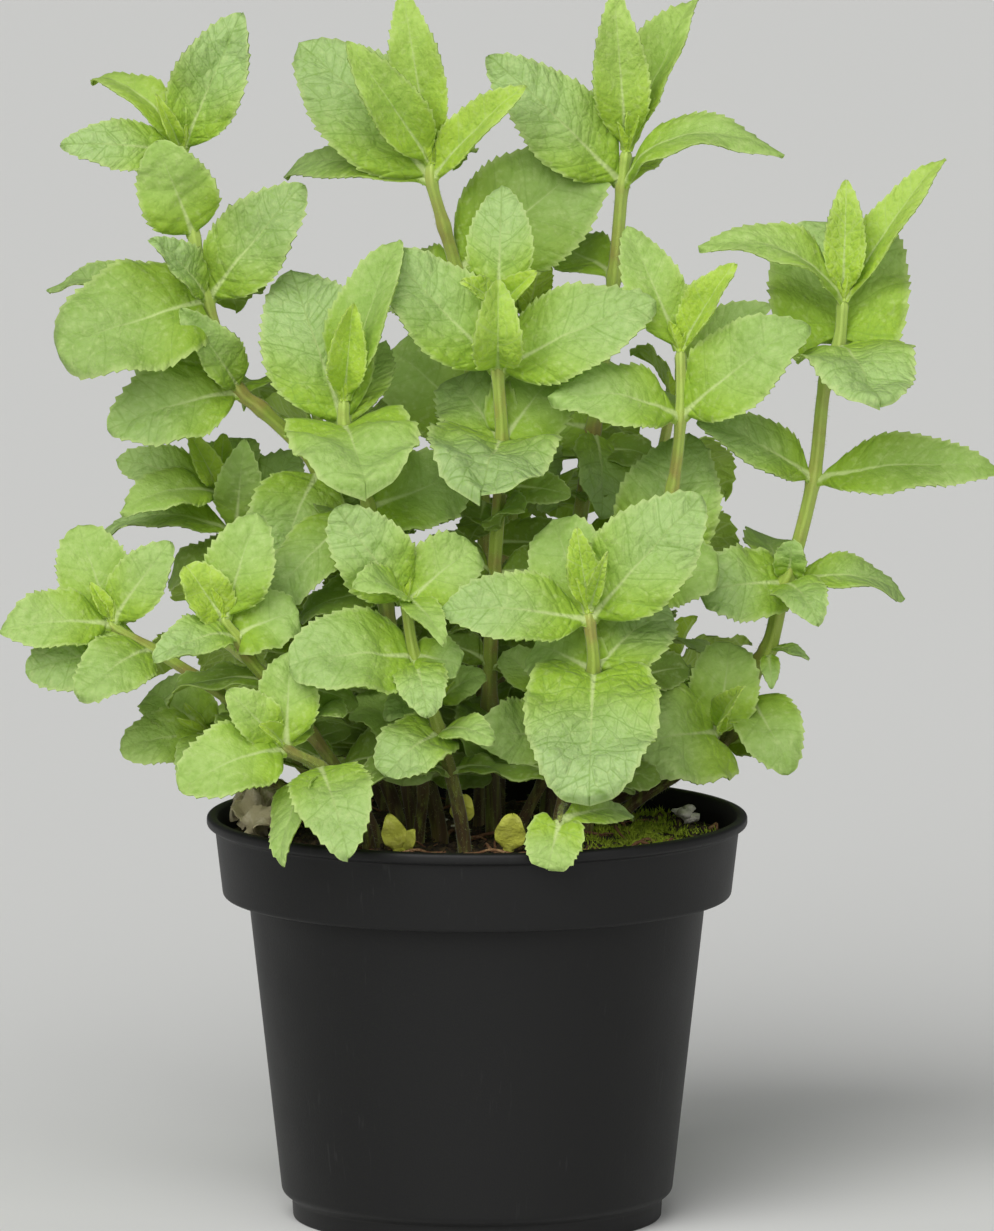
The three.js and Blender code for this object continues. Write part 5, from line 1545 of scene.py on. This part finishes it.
YELLOW_LEAVES = [
    node(7.5, -30, -8.6, leaf(8.5, -35, 0, 7.4, 0.05, 3, 66)),
    node(-4, -24, -2, leaf(-3, -28, 5, 5.8, 0.05, 3, 60)),
    node(-19, -32, -8.6, leaf(-21, -36, 0, 6.0, 0.05, 3, 66)),
    node(-18, -32, -8.4, leaf(-15, -36, -3.5, 4.2, 0.05, 3, 60)),
]
DRY_LEAVES = [
    node(-57, 2, -3, leaf(-50, 8, 7, 11, 0.2, 24, 60)),
    node(-50, -4, -5, leaf(-58, 0, 4, 9, 0.2, 20, 50)),
    node(-46, 2, -4, leaf(-54, 6, 7, 9, 0.2, 26, 70)),
    node(-56, -8, -5, leaf(-47, -10, 2, 7, 0.16, 20, 44)),
    node(-44, 12, -2, leaf(-50, 16, 8, 9, 0.2, 24, 60)),
    node(-50, -14, -6, leaf(-43, -10, 1, 6, 0.2, 20, 50)),
]


# ---- Studio ----


@dataclass
class Studio:
    """A plain pale floor, soft light from in front and above, and the camera at the photograph's angle."""

    floor_half: float = 60.0
    floor: Colour = srgb(230, 230, 227)
    air: Colour = srgb(236, 238, 240)
    air_strength: float = 0.17
    film_width: float = 36.0
    suns: tuple[tuple[float, float, float, float], ...] = ((-24, 38, 2.8, 50), (28, 18, 1.0, 60))

    def camera(self) -> None:
        """A long lens that looks down a little at a place over the pot's middle."""
        aim = np.array([VIEW_RIGHT, 0.0, POT_HEIGHT + VIEW_RISE])
        back = np.array([0.0, -math.cos(VIEW_TILT), math.sin(VIEW_TILT)])
        data = bpy.data.cameras.new("view")
        data.sensor_width = self.film_width
        data.lens = self.film_width * VIEW_DISTANCE / VIEW_HEIGHT
        made = placed("view", data)
        made.location = Vector((aim + back * VIEW_DISTANCE) * MM)
        made.rotation_euler = (math.pi / 2 - VIEW_TILT, 0.0, 0.0)
        bpy.context.scene.camera = made

    def lights(self) -> None:
        """Wide soft lamps, each with its heading round the plant, height in degrees, strength and spread."""
        for k, (heading, height, strength, spread) in enumerate(self.suns):
            data = bpy.data.lights.new(f"soft_{k}", "SUN")
            data.energy, data.angle = strength, math.radians(spread)
            placed(f"soft_{k}", data).rotation_euler = (math.radians(90 - height), 0.0, math.radians(heading))
        world = bpy.data.worlds.new("air")
        world.use_nodes = True
        background = world.node_tree.nodes["Background"]
        background.inputs["Color"].default_value = self.air
        background.inputs["Strength"].default_value = self.air_strength
        bpy.context.scene.world = world

    def ground(self) -> None:
        """The floor that the pot stands on."""
        half = self.floor_half
        mesh = bpy.data.meshes.new("floor")
        corners = [(-half, -half, 0), (half, -half, 0), (half, half, 0), (-half, half, 0)]
        mesh.from_pydata(corners, [], [(0, 1, 2, 3)])
        mesh.materials.append(Paint("floor").surface({"Base Color": self.floor, "Roughness": 0.7}))
        placed("floor", mesh)

    def build(self) -> None:
        """Sets up the camera, the lights and the floor."""
        self.camera()
        self.lights()
        self.ground()
        bpy.context.scene.view_settings.view_transform = "Standard"


def main() -> None:
    """Builds the studio, the pot, the soil and every shoot."""
    logging.basicConfig(level=logging.INFO, format="%(message)s")
    Studio().build()
    pot = Pot()
    pot.build()
    Soil(pot).build()
    for number, one in enumerate(SHOOTS):
        one.number = number
        one.build()


if __name__ == "__main__":
    main()
